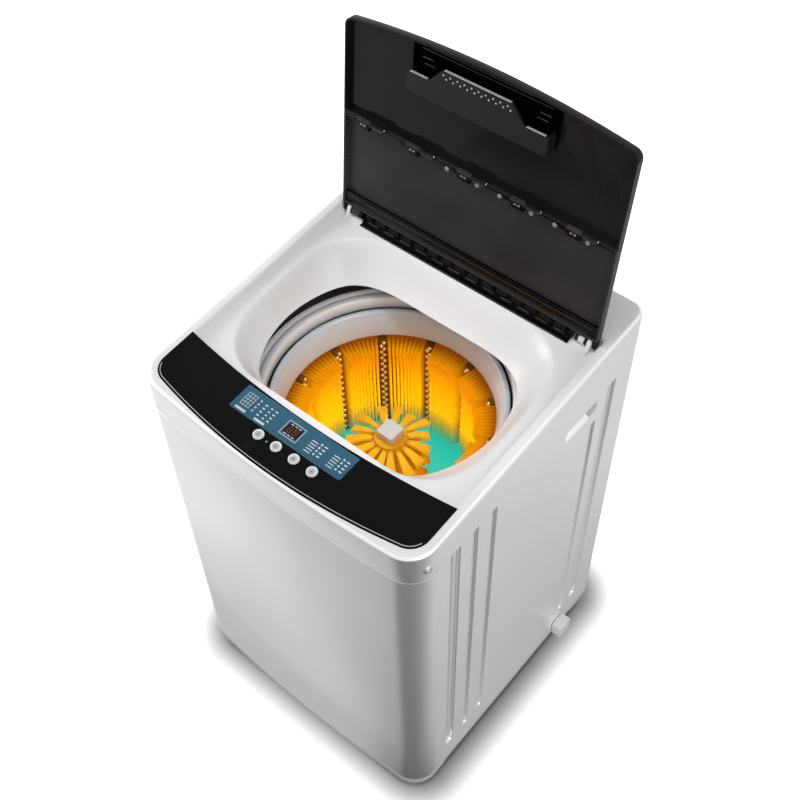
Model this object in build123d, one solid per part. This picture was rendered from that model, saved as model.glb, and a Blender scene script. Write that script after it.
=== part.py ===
from build123d import *
import os
from math import atan2, cos, degrees, hypot, radians, sin

# Cabinet
width = 520.0
depth = 530.0
front_bow = 14.0
front_corner = 45.0
rear_corner = 24.0
sheet = 2.0
skirt_z = 29.0
shell_z = 46.0
top_front_z = 788.0
top_rise = 40.0
rear_return = 36.0

# Presses sunk in the sides: place from front to rear, width and top of each
press_low_z = 100.0
press_high_z = 731.0
press_deep = 4.0
press_draw = 3.0
press_wide = 18.0
press_narrow = 10.0
press_front_y = -184.0
press_mid_y = -140.0
press_inner_y = -98.0
press_rear_y = 189.0
press_rear_inner_y = 150.0
press_short_z = 672.0

# Back panel
back_gap = 2.0
back_press_x = 110.0
back_press_wide = 150.0
back_press_high = 420.0
back_press_corner = 12.0
back_press_deep = 2.5

# Carry handles
handle_y = 112.0
handle_z = 712.0
handle_long = 84.0
handle_high = 26.0
handle_deep = 26.0
handle_rim = 4.0
handle_wall = 2.0

# Base and feet
base_wall = 5.0
base_inner_high = 34.0
base_plate = 4.0
base_plate_lift = 12.0
base_opening = 340.0
skirt_arch_high = 5.0
skirt_arch_long = 390.0
foot_inset = 54.0
foot_r = 23.0
foot_pad = 13.0
foot_hub_r = 11.0
stud_r = 5.0
stud_over = 8.0

# Top cover
rail_wide = 20.0
rail_lip = 8.0
rail_wall = 4.0
rail_edge = 4.0
apron_z = 728.0
apron_y = -222.0
recess = 16.0
cover_wall = 3.0
mouth_r = 193.0
mouth_front_y = -166.0
mouth_rear_y = 108.0
mouth_z = 747.0
basin_half_x = 221.0
basin_rear_y = 150.0
basin_corner = 96.0
basin_deep = 26.0
basin_draw = 18.0
gutter_rear_y = 184.0
cover_screw_r = 5.0
cover_screw_y = -238.0
cover_screw_z = 752.0

# Control panel
panel_half_x = 239.0
panel_rear_y = -165.0
panel_rear_bow = 17.0
panel_front_y = -240.0
panel_front_bow = 28.0
panel_corner = 25.0
panel_thick = 4.0
panel_stand = 0.5
panel_gap = 0.3
overlay_x = -8.0
overlay_y = -205.0
overlay_long = 206.0
overlay_deep = 42.0
overlay_corner = 5.0
overlay_thick = 0.8
window_long = 26.0
window_deep = 20.0
window_thick = 2.4
board_drop = 20.0
board_thick = 1.6
board_long = 230.0
board_deep = 58.0
board_y = -218.0
board_post_r = 4.0
button_first_x = -42.0
button_pitch = 33.0
button_count = 4
button_y = -238.0
button_r = 8.0
button_gap = 0.4
button_stand = 2.6
button_flange = 1.8
button_flange_thick = 1.5
button_travel = 2.0

# Lid
hinge_y = 167.0
lid_thick = 12.0
lid_sink = 1.5
lid_half_x = 238.0
lid_start = 11.0
lid_rear_long = 178.0
lid_front_side_long = 150.0
lid_front_bow = 18.0
lid_skin = 3.0
lid_corner = 14.0
lid_gap = 1.2
lid_lean = 5.6
pin_r = 4.0
pin_gap = 0.05
barrel_r = 6.5
barrel_x = 205.0
barrel_long = 16.0
ear_gap = 1.0
ear_thick = 8.0
ear_half = 8.0
fold_drop = 1.5
knuckle_r = 4.5
knuckle_long = 24.0
knuckle_gap = 0.6
knuckle_pitch = 92.0
fold_pin_r = 2.0
pull_half = 116.0
pull_mid_half = 56.0
pull_slope_half = 78.0
pull_low = 94.0
pull_shoulder = 124.0
pull_top = 148.0
pull_deep = 21.0
pull_wall = 3.0
pull_corner = 6.0
hinge_bar_half = 196.0
hinge_bar_front = 158.5
hinge_bar_thick = 5.0
hinge_bar_ribs = 15
hinge_bar_rib_thick = 2.5
hinge_bar_rib_high = 7.0

# Tub and drum
drum_y = -15.0
tub_r = 208.0
tub_wall = 3.0
tub_floor_z = 368.0
tub_top_z = 706.0
tub_flange = 7.0
tub_ear_r = 236.0
tub_ear_thick = 12.0
tub_hole_r = 21.0
tub_cover_in_r = 187.0
tub_cover_thick = 4.0
tub_cover_drop = 18.0
drum_r = 176.0
drum_wall = 1.5
drum_floor_z = 404.0
drum_top_z = 646.0
drum_hole_r = 34.0
ring_in_r = 164.0
ring_out_r = 184.0
ring_high = 46.0
ring_edge = 7.0
flange_r = 150.0
flange_thick = 5.0
flange_hub_r = 32.0
flange_hub_high = 22.0
flange_ribs = 6
flange_press_wide = 10.0

# Brush panels
panel_count = 13
panel_first_angle = 9.4
brush_gap = 10.0
brush_low_z = 432.0
brush_back = 5.0
brush_seat = 0.3
bristle_tip_r = 138.0
bristle_columns = 4
bristle_rows = 5
bristle_wide = 6.0
bristle_tip = 2.6
bristle_root = 1.0

# Pulsator and post
pulsator_r = 164.0
pulsator_lift = 6.0
pulsator_thick = 4.0
pulsator_rim = 14.0
pulsator_dome = 34.0
pulsator_vanes = 6
pulsator_vane_wide = 14.0
pulsator_vane_high = 12.0
post_r = 22.0
post_top_z = 592.0
sleeve_gap = 0.2
sleeve_wall = 3.4
sleeve_low_z = 474.0
post_bristles = 15
post_rings = 3
post_ring_pitch = 40.0
post_bristle_tip_r = 70.0
post_bristle_drop = 14.0
post_bristle_wide = 3.0
post_bristle_tip = 2.0
cap_half = 20.0
cap_hollow = 5.0
cap_lobe_r = 6.0
cap_high = 18.0

# Drive
wash_r = 8.0
shaft_gap = 0.05
spin_r = 12.5
spin_low_z = 226.0
wash_low_z = 186.0
plate_thick = 6.0
plate_wide = 130.0
plate_long = 300.0
clutch_r = 60.0
clutch_neck_r = 40.0
clutch_neck_z = 290.0
clutch_low_z = 236.0
pulley_z = 190.0
pulley_high = 18.0
pulley_big_r = 84.0
pulley_small_r = 28.0
pulley_groove = 6.0
belt_thick = 6.0
belt_wide = 9.0
belt_gap = 0.3
motor_span = 152.0
motor_r = 58.0
motor_low_z = 222.0
motor_shaft_r = 6.0
motor_fins = 10
motor_fin_out = 3.0
motor_fin_wide = 5.0
motor_boss_half = 12.0
motor_boss_at = 30.0

# Suspension
bracket_z = 668.0
bracket_thick = 4.0
bracket_size = 58.0
rod_r = 4.0
rod_sides = 8
rod_gap = 0.4
rod_sway = 6.0
rod_seat_r = 11.0
rod_seat_high = 10.0
rod_top_x = 208.0
rod_front_y = 214.0
rod_rear_y = 196.0
rod_under = 44.0
cup_r = 17.0
cup_sides = 16
spring_cup_high = 62.0

# Water
drain_y = 136.0
drain_z = 74.0
drain_r = 14.0
drain_stand = 26.0
drain_collar = 4.0
drain_flange_r = 22.0
drain_wall = 2.5
valve_x = 120.0
valve_y = 50.0
valve_r = 26.0
valve_low_z = 312.0
valve_spout = 12.0
hose_r = 12.0
hose_run_x = 214.0
inlet_x = -150.0
inlet_z = 760.0
inlet_r = 13.1
inlet_neck_r = 12.0
inlet_stand = 16.0
inlet_collar_r = 20.0
inlet_body = 46.0
gland_x = 170.0
gland_z = 150.0
gland_r = 9.0
gland_stand = 10.0
hole_gap = 0.3

slope = atan2(top_rise, depth)
slope_deg = degrees(slope)


def deck_z(y):
    """Height of the sloping top of the cover at a place from front to rear."""
    return top_front_z + top_rise * (y + depth / 2) / depth


deck = Plane(origin=(0, 0, deck_z(0)), x_dir=(1, 0, 0), z_dir=(0, -sin(slope), cos(slope)))
reach = 2 * depth


def cyl(r, z0, z1, x=0.0, y=0.0):
    return Pos(x, y, z0) * Cylinder(r, z1 - z0, align=(Align.CENTER, Align.CENTER, Align.MIN))


def tube(r_out, r_in, z0, z1, x=0.0, y=0.0):
    return cyl(r_out, z0, z1, x, y) - cyl(r_in, z0 - 1, z1 + 1, x, y)


def block(x0, x1, y0, y1, z0, z1):
    return Pos((x0 + x1) / 2, (y0 + y1) / 2, (z0 + z1) / 2) * Box(x1 - x0, y1 - y0, z1 - z0)


def outline(inset):
    """Plan of the cabinet with a bowed front, drawn in by an inset."""
    half = width / 2 - inset
    front = -depth / 2 + inset
    rear = depth / 2 - inset
    sides = Polyline((half, front), (half, rear), (-half, rear), (-half, front))
    bow = ThreePointArc((-half, front), (0, front - front_bow), (half, front))
    face = make_face(sides.edges() + bow.edges())
    face = fillet(face.vertices().group_by(Axis.Y)[0], max(front_corner - inset, 8.0))
    return fillet(face.vertices().group_by(Axis.Y)[-1], max(rear_corner - inset, 4.0))


def prism(sketch, z0, z1):
    return extrude(Pos(0, 0, z0) * sketch, z1 - z0)


def deck_slab(lo, hi):
    return extrude(deck.offset(lo) * Rectangle(2 * reach, 2 * reach), hi - lo)


def under(sketch, drop, z0):
    """Upright block of a plan from a level up to a distance under the deck."""
    return prism(sketch, z0, top_front_z + reach) - deck_slab(-drop, 3 * reach)


def over(sketch, drop):
    """Upright block of a plan from a distance under the deck upward."""
    return prism(sketch, apron_z - 200, top_front_z + 200) - deck_slab(-3 * reach, -drop)


def plan_box(x0, x1, y0, y1):
    return Pos((x0 + x1) / 2, (y0 + y1) / 2) * Rectangle(x1 - x0, y1 - y0)


def panel_plan(gap):
    """Plan of the control panel with both long edges bowed to the front."""
    half = panel_half_x - gap
    rear = panel_rear_y - gap
    front = panel_front_y + gap
    edges = [
        Line((-half, front), (-half, rear)),
        ThreePointArc((-half, rear), (0, rear - panel_rear_bow), (half, rear)),
        Line((half, rear), (half, front)),
        ThreePointArc((half, front), (0, front - panel_front_bow), (-half, front)),
    ]
    face = make_face([e for part in edges for e in part.edges()])
    return fillet(face.vertices().group_by(Axis.Y)[0], panel_corner - gap)


def lid_recess_plan():
    """Plan of the sunk deck behind the control panel."""
    half = width / 2 - rail_wide
    edges = [
        ThreePointArc((-half, panel_rear_y), (0, panel_rear_y - panel_rear_bow), (half, panel_rear_y)),
        Polyline((half, panel_rear_y), (half, gutter_rear_y), (-half, gutter_rear_y), (-half, panel_rear_y)),
    ]
    return make_face([e for part in edges for e in part.edges()])


def quarter_places(x, y_front, y_rear):
    return [(-x, y_front), (x, y_front), (x, y_rear), (-x, y_rear)]


presses = [
    (press_front_y, press_wide, press_high_z),
    (press_mid_y, press_narrow, press_high_z),
    (press_inner_y, press_narrow, press_high_z),
    (press_rear_y, press_wide, press_high_z),
    (press_rear_inner_y, press_narrow, press_short_z),
]
foot_places = quarter_places(width / 2 - foot_inset, -depth / 2 + foot_inset, depth / 2 - foot_inset)
plate_z = skirt_z + base_plate_lift


def side_press(side, y, z0, z1, wide, x0, deep):
    """Block with sloping walls, sunk into a side of the cabinet from a distance off its middle."""
    high = z1 - z0
    sunk = Wedge(wide, deep, high, press_draw, press_draw, wide - press_draw, high - press_draw,
                 align=(Align.CENTER, Align.MIN, Align.CENTER))
    return Pos(side * x0, y, (z0 + z1) / 2) * Rot(0, 0, 90 * side) * sunk


def side_window(side, y, z, long, high, x0, x1):
    plane = Plane(origin=(side * x0, y, z), x_dir=(0, side, 0), z_dir=(side, 0, 0))
    window = Rectangle(long, high)
    return extrude(plane * chamfer(window.vertices(), high * 0.25), x1 - x0)


def cabinet_shell():
    wall = outline(0) - outline(sheet)
    shell = prism(wall, shell_z, top_front_z + top_rise)
    shell -= deck_slab(-rail_lip, 3 * reach)
    shell -= block(-width, width, -depth, apron_y, apron_z, top_front_z + 200)
    shell -= block(-width / 2 + rear_return, width / 2 - rear_return, depth / 2 - rear_corner, depth, 0, 2 * reach)
    half = width / 2
    for side in (1, -1):
        for y, wide, high in presses:
            shell += side_press(side, y, press_low_z - sheet, high + sheet, wide + 2 * sheet, half - sheet, press_deep)
            shell -= side_press(side, y, press_low_z, high, wide, half, press_deep)
        shell -= side_window(side, handle_y, handle_z, handle_long, handle_high, half - 10, half + 10)
    hole = Pos(half, drain_y, drain_z) * Rot(0, 90, 0) * Cylinder(drain_r + hole_gap, 40)
    return shell - hole


def back_press(inset):
    """Plan of a stiffening press in the back panel, drawn in by an inset."""
    plan = Rectangle(back_press_wide - 2 * inset, back_press_high - 2 * inset)
    return chamfer(plan.vertices(), back_press_corner - inset)


def back_panel():
    y1 = depth / 2 - sheet
    half = width / 2 - rear_corner - back_gap
    z0 = shell_z + base_inner_high
    z1 = deck_z(depth / 2) - rail_lip - back_gap
    plate = block(-half, half, y1 - sheet, y1, z0, z1)
    for x in (-back_press_x, back_press_x):
        frame = Plane(origin=(x, y1 - sheet, (z0 + z1) / 2), x_dir=(1, 0, 0), z_dir=(0, -1, 0))
        plate += extrude(frame * back_press(0), back_press_deep)
        plate -= extrude(frame.offset(-sheet) * back_press(sheet), back_press_deep)
    plate -= Pos(inlet_x, y1, inlet_z) * Rot(90, 0, 0) * Cylinder(inlet_neck_r + hole_gap, 40)
    plate -= Pos(gland_x, y1, gland_z) * Rot(90, 0, 0) * Cylinder(gland_r + hole_gap, 40)
    return plate


def base_frame():
    frame = prism(outline(0) - outline(base_wall), skirt_z, shell_z)
    frame += prism(outline(sheet + hole_gap) - outline(base_wall), shell_z, shell_z + base_inner_high)
    frame += prism(outline(base_wall) - Rectangle(base_opening, base_opening), plate_z, plate_z + base_plate)
    arch = skirt_arch_long / 2
    for cut in (
        block(-width, width, -arch, arch, skirt_z - 1, skirt_z + skirt_arch_high),
        block(-arch, arch, -depth, depth, skirt_z - 1, skirt_z + skirt_arch_high),
    ):
        frame -= cut
    for x, y in foot_places:
        nut = Pos(x, y) * RegularPolygon(stud_r + hole_gap, 6, major_radius=False)
        frame -= prism(nut, plate_z - 1, plate_z + base_plate + 1)
    frame -= Pos(width / 2, drain_y, drain_z) * Rot(0, 90, 0) * Cylinder(drain_r + hole_gap, 40)
    return frame


def levelling_feet():
    feet = []
    for x, y in foot_places:
        pad = cyl(foot_r, 0, foot_pad, x, y)
        hub = prism(Pos(x, y) * RegularPolygon(foot_hub_r, 6), foot_pad, plate_z)
        stud = cyl(stud_r, plate_z, plate_z + base_plate + stud_over, x, y)
        feet.append(pad + hub + stud)
    return Compound(feet)


def side_handle(side):
    """Finger pocket flush with the side, held by a flange behind the sheet."""
    half = width / 2
    back = half - sheet - hole_gap
    cup = side_window(side, handle_y, handle_z, handle_long - 2 * hole_gap, handle_high - 2 * hole_gap,
                      half - handle_deep, half)
    cup += side_window(side, handle_y, handle_z, handle_long + 2 * handle_rim, handle_high + 2 * handle_rim,
                       back - handle_wall, back)
    cup -= side_window(side, handle_y, handle_z, handle_long - 2 * handle_wall, handle_high - 2 * handle_wall,
                       half - handle_deep + handle_wall, half + 10)
    return cup


def mouth_plan(grow):
    ring = Pos(0, drum_y) * Circle(mouth_r + grow)
    return ring & plan_box(-width, width, mouth_front_y - grow, mouth_rear_y + grow)


def basin(grow):
    """Drawn-down dish that leads from the deck to the mouth."""
    deep_y = basin_rear_y - mouth_front_y
    plan = Pos(0, (basin_rear_y + mouth_front_y) / 2) * RectangleRounded(
        2 * (basin_half_x + grow), deep_y + 2 * grow, basin_corner + grow)
    low = Pos(0, (basin_rear_y + mouth_front_y) / 2) * RectangleRounded(
        2 * (basin_half_x + grow - basin_draw), deep_y + 2 * (grow - basin_draw), basin_corner + grow - basin_draw)
    top = deck.offset(-recess) * plan
    bottom = deck.offset(-recess - basin_deep - grow) * low
    return loft(Sketch() + [top, bottom], ruled=True)


def top_cover():
    cover = under(outline(0), 0, apron_z)
    cover = chamfer(cover.faces().sort_by(Axis.Z)[-1].edges(), rail_edge)
    behind = block(-width, width, apron_y, depth, 0, top_front_z + top_rise)
    cover -= behind & deck_slab(-3 * reach, -recess - cover_wall)
    rail_band = prism(outline(0) - outline(rail_wide - cover_wall), 0, top_front_z + top_rise)
    cover -= rail_band & behind & deck_slab(-3 * reach, -rail_lip)
    cavity_plan = outline(rail_wide) & plan_box(-width, width, panel_rear_y, depth)
    cover -= under(cavity_plan, recess + cover_wall, apron_z - 1)
    cover -= under(outline(rail_wall) & plan_box(-width, width, -depth, panel_rear_y - panel_rear_bow - 4),
                   panel_thick + cover_wall, apron_z - 1)
    cover -= over(lid_recess_plan(), recess)
    cover -= over(panel_plan(0), panel_thick)
    cover += basin(cover_wall)
    cover += prism(mouth_plan(cover_wall), mouth_z, deck_z(0) - recess - basin_deep)
    cover -= basin(0)
    cover -= prism(mouth_plan(0), mouth_z - 1, top_front_z + 100)
    window = plan_box(overlay_x - overlay_long / 2, overlay_x + overlay_long / 2, button_y - button_r - 4,
                      overlay_y + window_deep / 2 + 3)
    cover -= over(window, panel_thick + cover_wall + 1) - over(Rectangle(reach, reach), panel_thick - 1)
    for x in (-board_long / 2 + 8, board_long / 2 - 8):
        post = deck.offset(-board_drop) * (Pos(x + overlay_x, board_y) * Circle(board_post_r))
        cover += extrude(post, board_drop - panel_thick - 1)
    axis_drop = lid_sink + lid_thick / 2
    for side in (1, -1):
        x0 = side * (barrel_x + barrel_long + ear_gap)
        x1 = x0 + side * ear_thick
        ear = under(plan_box(min(x0, x1), max(x0, x1), hinge_y - ear_half, hinge_y + ear_half), 1.0, apron_z)
        ear -= deck_slab(-3 * reach, -recess - 1.0)
        cover += ear
        bore = Pos(x0, hinge_y, deck_z(hinge_y) - axis_drop) * Rot(0, 90, 0) * Cylinder(pin_r + pin_gap, 60)
        cover -= bore
        seat = Pos(side * width / 2, cover_screw_y, cover_screw_z) * Rot(0, 90, 0)
        cover -= seat * Cylinder(cover_screw_r + hole_gap, 2 * rail_wall + 2)
    return cover


def cover_screws():
    heads = []
    for side in (1, -1):
        plane = Plane(origin=(side * (width / 2 - rail_wall), cover_screw_y, cover_screw_z), x_dir=(0, 1, 0),
                      z_dir=(side, 0, 0))
        heads.append(extrude(plane * Circle(cover_screw_r), rail_wall))
    return Compound(heads)


def overlay_plan(grow):
    """Plan of the printed overlay, rounded at its front corners."""
    plan = Rectangle(overlay_long + 2 * grow, overlay_deep + 2 * grow)
    return Pos(overlay_x, overlay_y) * fillet(plan.vertices().group_by(Axis.Y)[0], overlay_corner)


def window_plan(gap):
    return Pos(overlay_x, overlay_y) * Rectangle(window_long - 2 * gap, window_deep - 2 * gap)


def control_panel():
    panel = over(panel_plan(panel_gap), panel_thick) - deck_slab(panel_stand, 3 * reach)
    panel -= extrude(deck.offset(panel_stand - overlay_thick) * overlay_plan(panel_gap), 5)
    panel -= extrude(deck.offset(-panel_thick - 1) * window_plan(0), 10)
    for i in range(button_count):
        x = button_first_x + i * button_pitch
        hole = deck.offset(-panel_thick - 1) * (Pos(x, button_y) * Circle(button_r + button_gap))
        panel -= extrude(hole, 10)
    return panel


def panel_overlay():
    return extrude(deck.offset(panel_stand - overlay_thick) * (overlay_plan(0) - window_plan(0)), overlay_thick)


def display_window():
    return extrude(deck.offset(panel_stand - window_thick) * window_plan(panel_gap), window_thick)


def control_board():
    plan = Pos(overlay_x, board_y) * Rectangle(board_long, board_deep)
    board = extrude(deck.offset(-board_drop - board_thick) * plan, board_thick)
    for i in range(button_count):
        x = button_first_x + i * button_pitch
        key = deck.offset(-board_drop) * (Pos(x, button_y) * Rectangle(6, 6))
        board += extrude(key, board_drop - button_flange_thick - button_gap - panel_thick - button_travel - panel_gap)
    return board


def button(i):
    x = button_first_x + i * button_pitch
    low = -panel_thick - button_gap - button_flange_thick
    cap = extrude(deck.offset(low) * (Pos(x, button_y) * Circle(button_r)), button_stand - low)
    side = 2 * (button_r + button_flange)
    flange = deck.offset(low) * (Pos(x, button_y) * Rectangle(side, side))
    return cap + extrude(flange, button_flange_thick)


hinge_z = deck_z(hinge_y) - lid_sink - lid_thick / 2
lid_close_turn = 90.0 + lid_lean + slope_deg
lid_place = Pos(0, hinge_y, hinge_z) * Rot(-90.0 - lid_lean, 0, 0)
fold_place = Pos(0, -lid_rear_long, -lid_thick / 2 - fold_drop)
front_place = lid_place * fold_place


knuckle_places = [knuckle_pitch * k for k in (-2, -1, 0, 1, 2)]


def knuckle_centres(rear):
    shift = (knuckle_long + knuckle_gap) / 2
    return [at - shift if rear else at + shift for at in knuckle_places]


def knuckles(rear):
    """Eight-sided hinge knuckles on the fold line, the rear set or the front set."""
    bar = extrude(Plane.YZ * RegularPolygon(knuckle_r, 8), knuckle_long)
    return [Pos(x - knuckle_long / 2, 0, 0) * bar for x in knuckle_centres(rear)]


def knuckle_rooms(rear):
    """Room in the other half of the lid for a set of knuckles to turn."""
    room = 2 * (knuckle_r + knuckle_gap)
    return [Pos(x, 0, 0) * Box(knuckle_long + knuckle_gap, room, room) for x in knuckle_centres(rear)]


def lid_rear_panel():
    y0 = -lid_rear_long + lid_gap / 2
    plate = block(-lid_half_x, lid_half_x, y0, -lid_start, -lid_thick / 2, lid_thick / 2)
    plate -= block(-lid_half_x + lid_skin, lid_half_x - lid_skin, y0 + lid_skin, -lid_start - lid_skin,
                   -lid_thick / 2 - 1, lid_thick / 2 - lid_skin)
    for side in (1, -1):
        x0 = side * barrel_x
        x1 = x0 + side * barrel_long
        barrel = Pos((x0 + x1) / 2, 0, 0) * Rot(0, 90, 0) * Cylinder(barrel_r, barrel_long)
        arm = block(min(x0, x1), max(x0, x1), -lid_start - lid_skin, 0, -3, 3)
        plate += barrel + arm
        plate -= Pos((x0 + x1) / 2, 0, 0) * Rot(0, 90, 0) * Cylinder(pin_r, barrel_long + 2)
    for room in knuckle_rooms(False):
        plate -= fold_place * room
    for knuckle in knuckles(True):
        plate += fold_place * knuckle
    for at in knuckle_places:
        x = at - knuckle_long / 2 - knuckle_gap / 2
        leg = block(x - knuckle_long / 2, x + knuckle_long / 2, y0, y0 + lid_skin, -lid_thick / 2 - fold_drop, 0)
        plate += leg
        plate -= fold_place * Pos(at, 0, 0) * Rot(0, 90, 0) * Cylinder(fold_pin_r, 3 * knuckle_long)
    return lid_place * plate


def front_plan(inset, fold_side):
    half = lid_half_x - inset
    y0 = -lid_gap / 2 - fold_side
    y1 = -lid_front_side_long + inset
    edges = [
        Polyline((half, y1), (half, y0), (-half, y0), (-half, y1)),
        ThreePointArc((-half, y1), (0, y1 - lid_front_bow), (half, y1)),
    ]
    face = make_face([e for part in edges for e in part.edges()])
    return fillet(face.vertices().group_by(Axis.Y)[0], lid_corner - inset)


lid_mid_z = lid_thick / 2 + fold_drop


def pull_plan():
    """Plate of the pull: low shoulders at both ends and a raised grip between them."""
    corners = [
        (pull_half, -pull_low), (pull_half, -pull_shoulder), (pull_slope_half, -pull_shoulder),
        (pull_mid_half, -pull_top), (-pull_mid_half, -pull_top), (-pull_slope_half, -pull_shoulder),
        (-pull_half, -pull_shoulder), (-pull_half, -pull_low),
    ]
    face = make_face(Polyline(*corners, close=True))
    return fillet([v for v in face.vertices() if abs(v.X) > pull_slope_half + 1], pull_corner)


def lid_front_panel():
    plate = prism(front_plan(0, 0), lid_mid_z - lid_thick / 2, lid_mid_z + lid_thick / 2)
    plate -= prism(front_plan(lid_skin, lid_skin), -1, lid_mid_z + lid_thick / 2 - lid_skin)
    for room in knuckle_rooms(True):
        plate -= room
    for knuckle in knuckles(False):
        plate += knuckle
    for at in knuckle_places:
        x = at + knuckle_long / 2 + knuckle_gap / 2
        leg = block(x - knuckle_long / 2, x + knuckle_long / 2, -lid_gap / 2 - lid_skin, -lid_gap / 2, 0, lid_mid_z)
        plate += leg
        plate -= Pos(at, 0, 0) * Rot(0, 90, 0) * Cylinder(fold_pin_r, 3 * knuckle_long)
    return front_place * plate


def lid_handle_cup():
    """Pull on the underside: a plate and three walls that leave a pocket open to the front edge."""
    skin_z = lid_mid_z + lid_thick / 2 - lid_skin
    low_z = skin_z - pull_deep
    outside = prism(pull_plan(), low_z, skin_z)
    inner = pull_half - pull_wall
    pocket = block(-inner, inner, -pull_top - 1, -pull_low - pull_wall, low_z + pull_wall, skin_z + 1)
    pocket += block(-pull_half - 1, pull_half + 1, -pull_top - 1, -pull_shoulder, low_z + pull_wall, skin_z + 1)
    return front_place * (outside - pocket)


def lid_hinge_pins():
    long = barrel_long + ear_gap + ear_thick
    pins = []
    for side in (1, -1):
        x = side * (barrel_x + long / 2)
        pins.append(lid_place * Pos(x, 0, 0) * Rot(0, 90, 0) * Cylinder(pin_r, long))
    return Compound(pins)


def lid_fold_pins():
    pins = []
    for at in knuckle_places:
        pin = Pos(at, 0, 0) * Rot(0, 90, 0) * Cylinder(fold_pin_r - hole_gap / 6, 2 * knuckle_long + knuckle_gap)
        pins.append(front_place * pin)
    return Compound(pins)


def lid_hinge_bar():
    plan = plan_box(-hinge_bar_half, hinge_bar_half, hinge_bar_front, gutter_rear_y - 1.0)
    bar = over(plan, recess) - deck_slab(-recess + hinge_bar_thick, 3 * reach)
    pitch = 2 * hinge_bar_half / hinge_bar_ribs
    for i in range(hinge_bar_ribs):
        x = -hinge_bar_half + pitch * (i + 0.5)
        rib = plan_box(x - hinge_bar_rib_thick / 2, x + hinge_bar_rib_thick / 2, hinge_y + 2, gutter_rear_y - 1.0)
        bar += over(rib, recess) - deck_slab(-recess + hinge_bar_thick + hinge_bar_rib_high, 3 * reach)
    return bar


def outer_tub():
    tub = cyl(tub_r, tub_floor_z, tub_top_z) - cyl(tub_r - tub_wall, tub_floor_z + tub_wall, tub_top_z + 1)
    tub += tube(tub_r + tub_flange, tub_r - tub_wall, tub_top_z - tub_wall, tub_top_z)
    for x, y in suspension_low:
        tub += Rot(0, 0, degrees(atan2(y - drum_y, x))) * block(
            tub_r - tub_wall, tub_ear_r + cup_r, -cup_r, cup_r, tub_floor_z, tub_floor_z + tub_ear_thick)
        tub -= suspension_hole(x, y - drum_y)
    tub -= cyl(tub_r - tub_wall, tub_floor_z + tub_wall, tub_top_z + 1)
    tub -= cyl(tub_hole_r, tub_floor_z - 1, tub_floor_z + tub_wall + 1)
    return Pos(0, drum_y, 0) * tub


ear_diag = tub_ear_r / hypot(1, 1)
suspension_low = quarter_places(ear_diag, drum_y - ear_diag, drum_y + ear_diag)
suspension_high = quarter_places(rod_top_x, -rod_front_y, rod_rear_y)


def rod_bar(low, high, r):
    """Few-sided bar along a suspension rod, from under its ear on the tub to its seat."""
    ear = Vector(low[0], low[1], tub_floor_z + tub_ear_thick / 2)
    run = Vector(high[0], high[1], bracket_z + bracket_thick) - ear
    start = ear - run.normalized() * rod_under
    return extrude(Plane(origin=start, z_dir=run) * RegularPolygon(r, rod_sides), run.length + rod_under)


def suspension_hole(x, y):
    hole = Pos(x, y) * RegularPolygon(rod_r + rod_sway, rod_sides)
    return prism(hole, tub_floor_z - 1, tub_floor_z + tub_ear_thick + 1)


def suspension_rods():
    rods = []
    for low, high in zip(suspension_low, suspension_high):
        seat = Pos(high[0], high[1]) * RegularPolygon(rod_seat_r, rod_sides)
        rods.append(rod_bar(low, high, rod_r) + prism(seat, bracket_z + bracket_thick, bracket_z + rod_seat_high))
    return Compound(rods)


def suspension_cups():
    cups = []
    for low, high in zip(suspension_low, suspension_high):
        cup = prism(Pos(low[0], low[1]) * RegularPolygon(cup_r, cup_sides), tub_floor_z - spring_cup_high, tub_floor_z)
        cups.append(cup - rod_bar(low, high, rod_r + rod_gap))
    return Compound(cups)


def corner_brackets():
    plates = []
    inner = outline(sheet + hole_gap) & plan_box(-width, width, -depth, depth / 2 - 2 * sheet - hole_gap)
    for low, high in zip(suspension_low, suspension_high):
        sx = 1 if high[0] > 0 else -1
        sy = 1 if high[1] > 0 else -1
        x_in = sx * (width / 2 - bracket_size)
        y_in = sy * (depth / 2 - bracket_size)
        corner = plan_box(min(x_in, sx * width), max(x_in, sx * width), min(y_in, sy * depth), max(y_in, sy * depth))
        plate = prism(corner & inner, bracket_z, bracket_z + bracket_thick)
        plates.append(plate - rod_bar(low, high, rod_r + rod_gap))
    return Compound(plates)


def tub_cover():
    top = tub_top_z + tub_cover_thick
    outer = tub_r + tub_flange
    ring = tube(outer, tub_cover_in_r, tub_top_z, top)
    ring += tube(tub_cover_in_r + tub_cover_thick, tub_cover_in_r, tub_top_z - tub_cover_drop, tub_top_z)
    return Pos(0, drum_y, 0) * ring


def drum_basket():
    wall = tube(drum_r + drum_wall, drum_r, drum_floor_z, drum_top_z)
    floor = tube(drum_r + drum_wall, drum_hole_r, drum_floor_z, drum_floor_z + drum_wall)
    return Pos(0, drum_y, 0) * (wall + floor)


def balance_ring():
    """Fluid ring on the drum's rim, bevelled where laundry slides past it."""
    top = drum_top_z + ring_high
    profile = Polyline(
        (ring_in_r, drum_top_z), (ring_out_r, drum_top_z), (ring_out_r, top), (ring_in_r + ring_edge, top),
        (ring_in_r, top - ring_edge), close=True)
    return Pos(0, drum_y, 0) * revolve(Plane.XZ * make_face(profile), Axis.Z)


def drum_flange():
    plate = cyl(flange_r, drum_floor_z - flange_thick, drum_floor_z)
    plate += cyl(flange_hub_r, drum_floor_z - flange_hub_high, drum_floor_z)
    for i in range(flange_ribs):
        plate += Rot(0, 0, i * 360 / flange_ribs) * block(
            0, flange_r - 6, -flange_press_wide / 2, flange_press_wide / 2,
            drum_floor_z - flange_hub_high * 0.7, drum_floor_z - flange_thick)
    plate -= cyl(spin_r, drum_floor_z - flange_hub_high - 1, drum_floor_z + 1)
    return Pos(0, drum_y, 0) * plate


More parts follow.
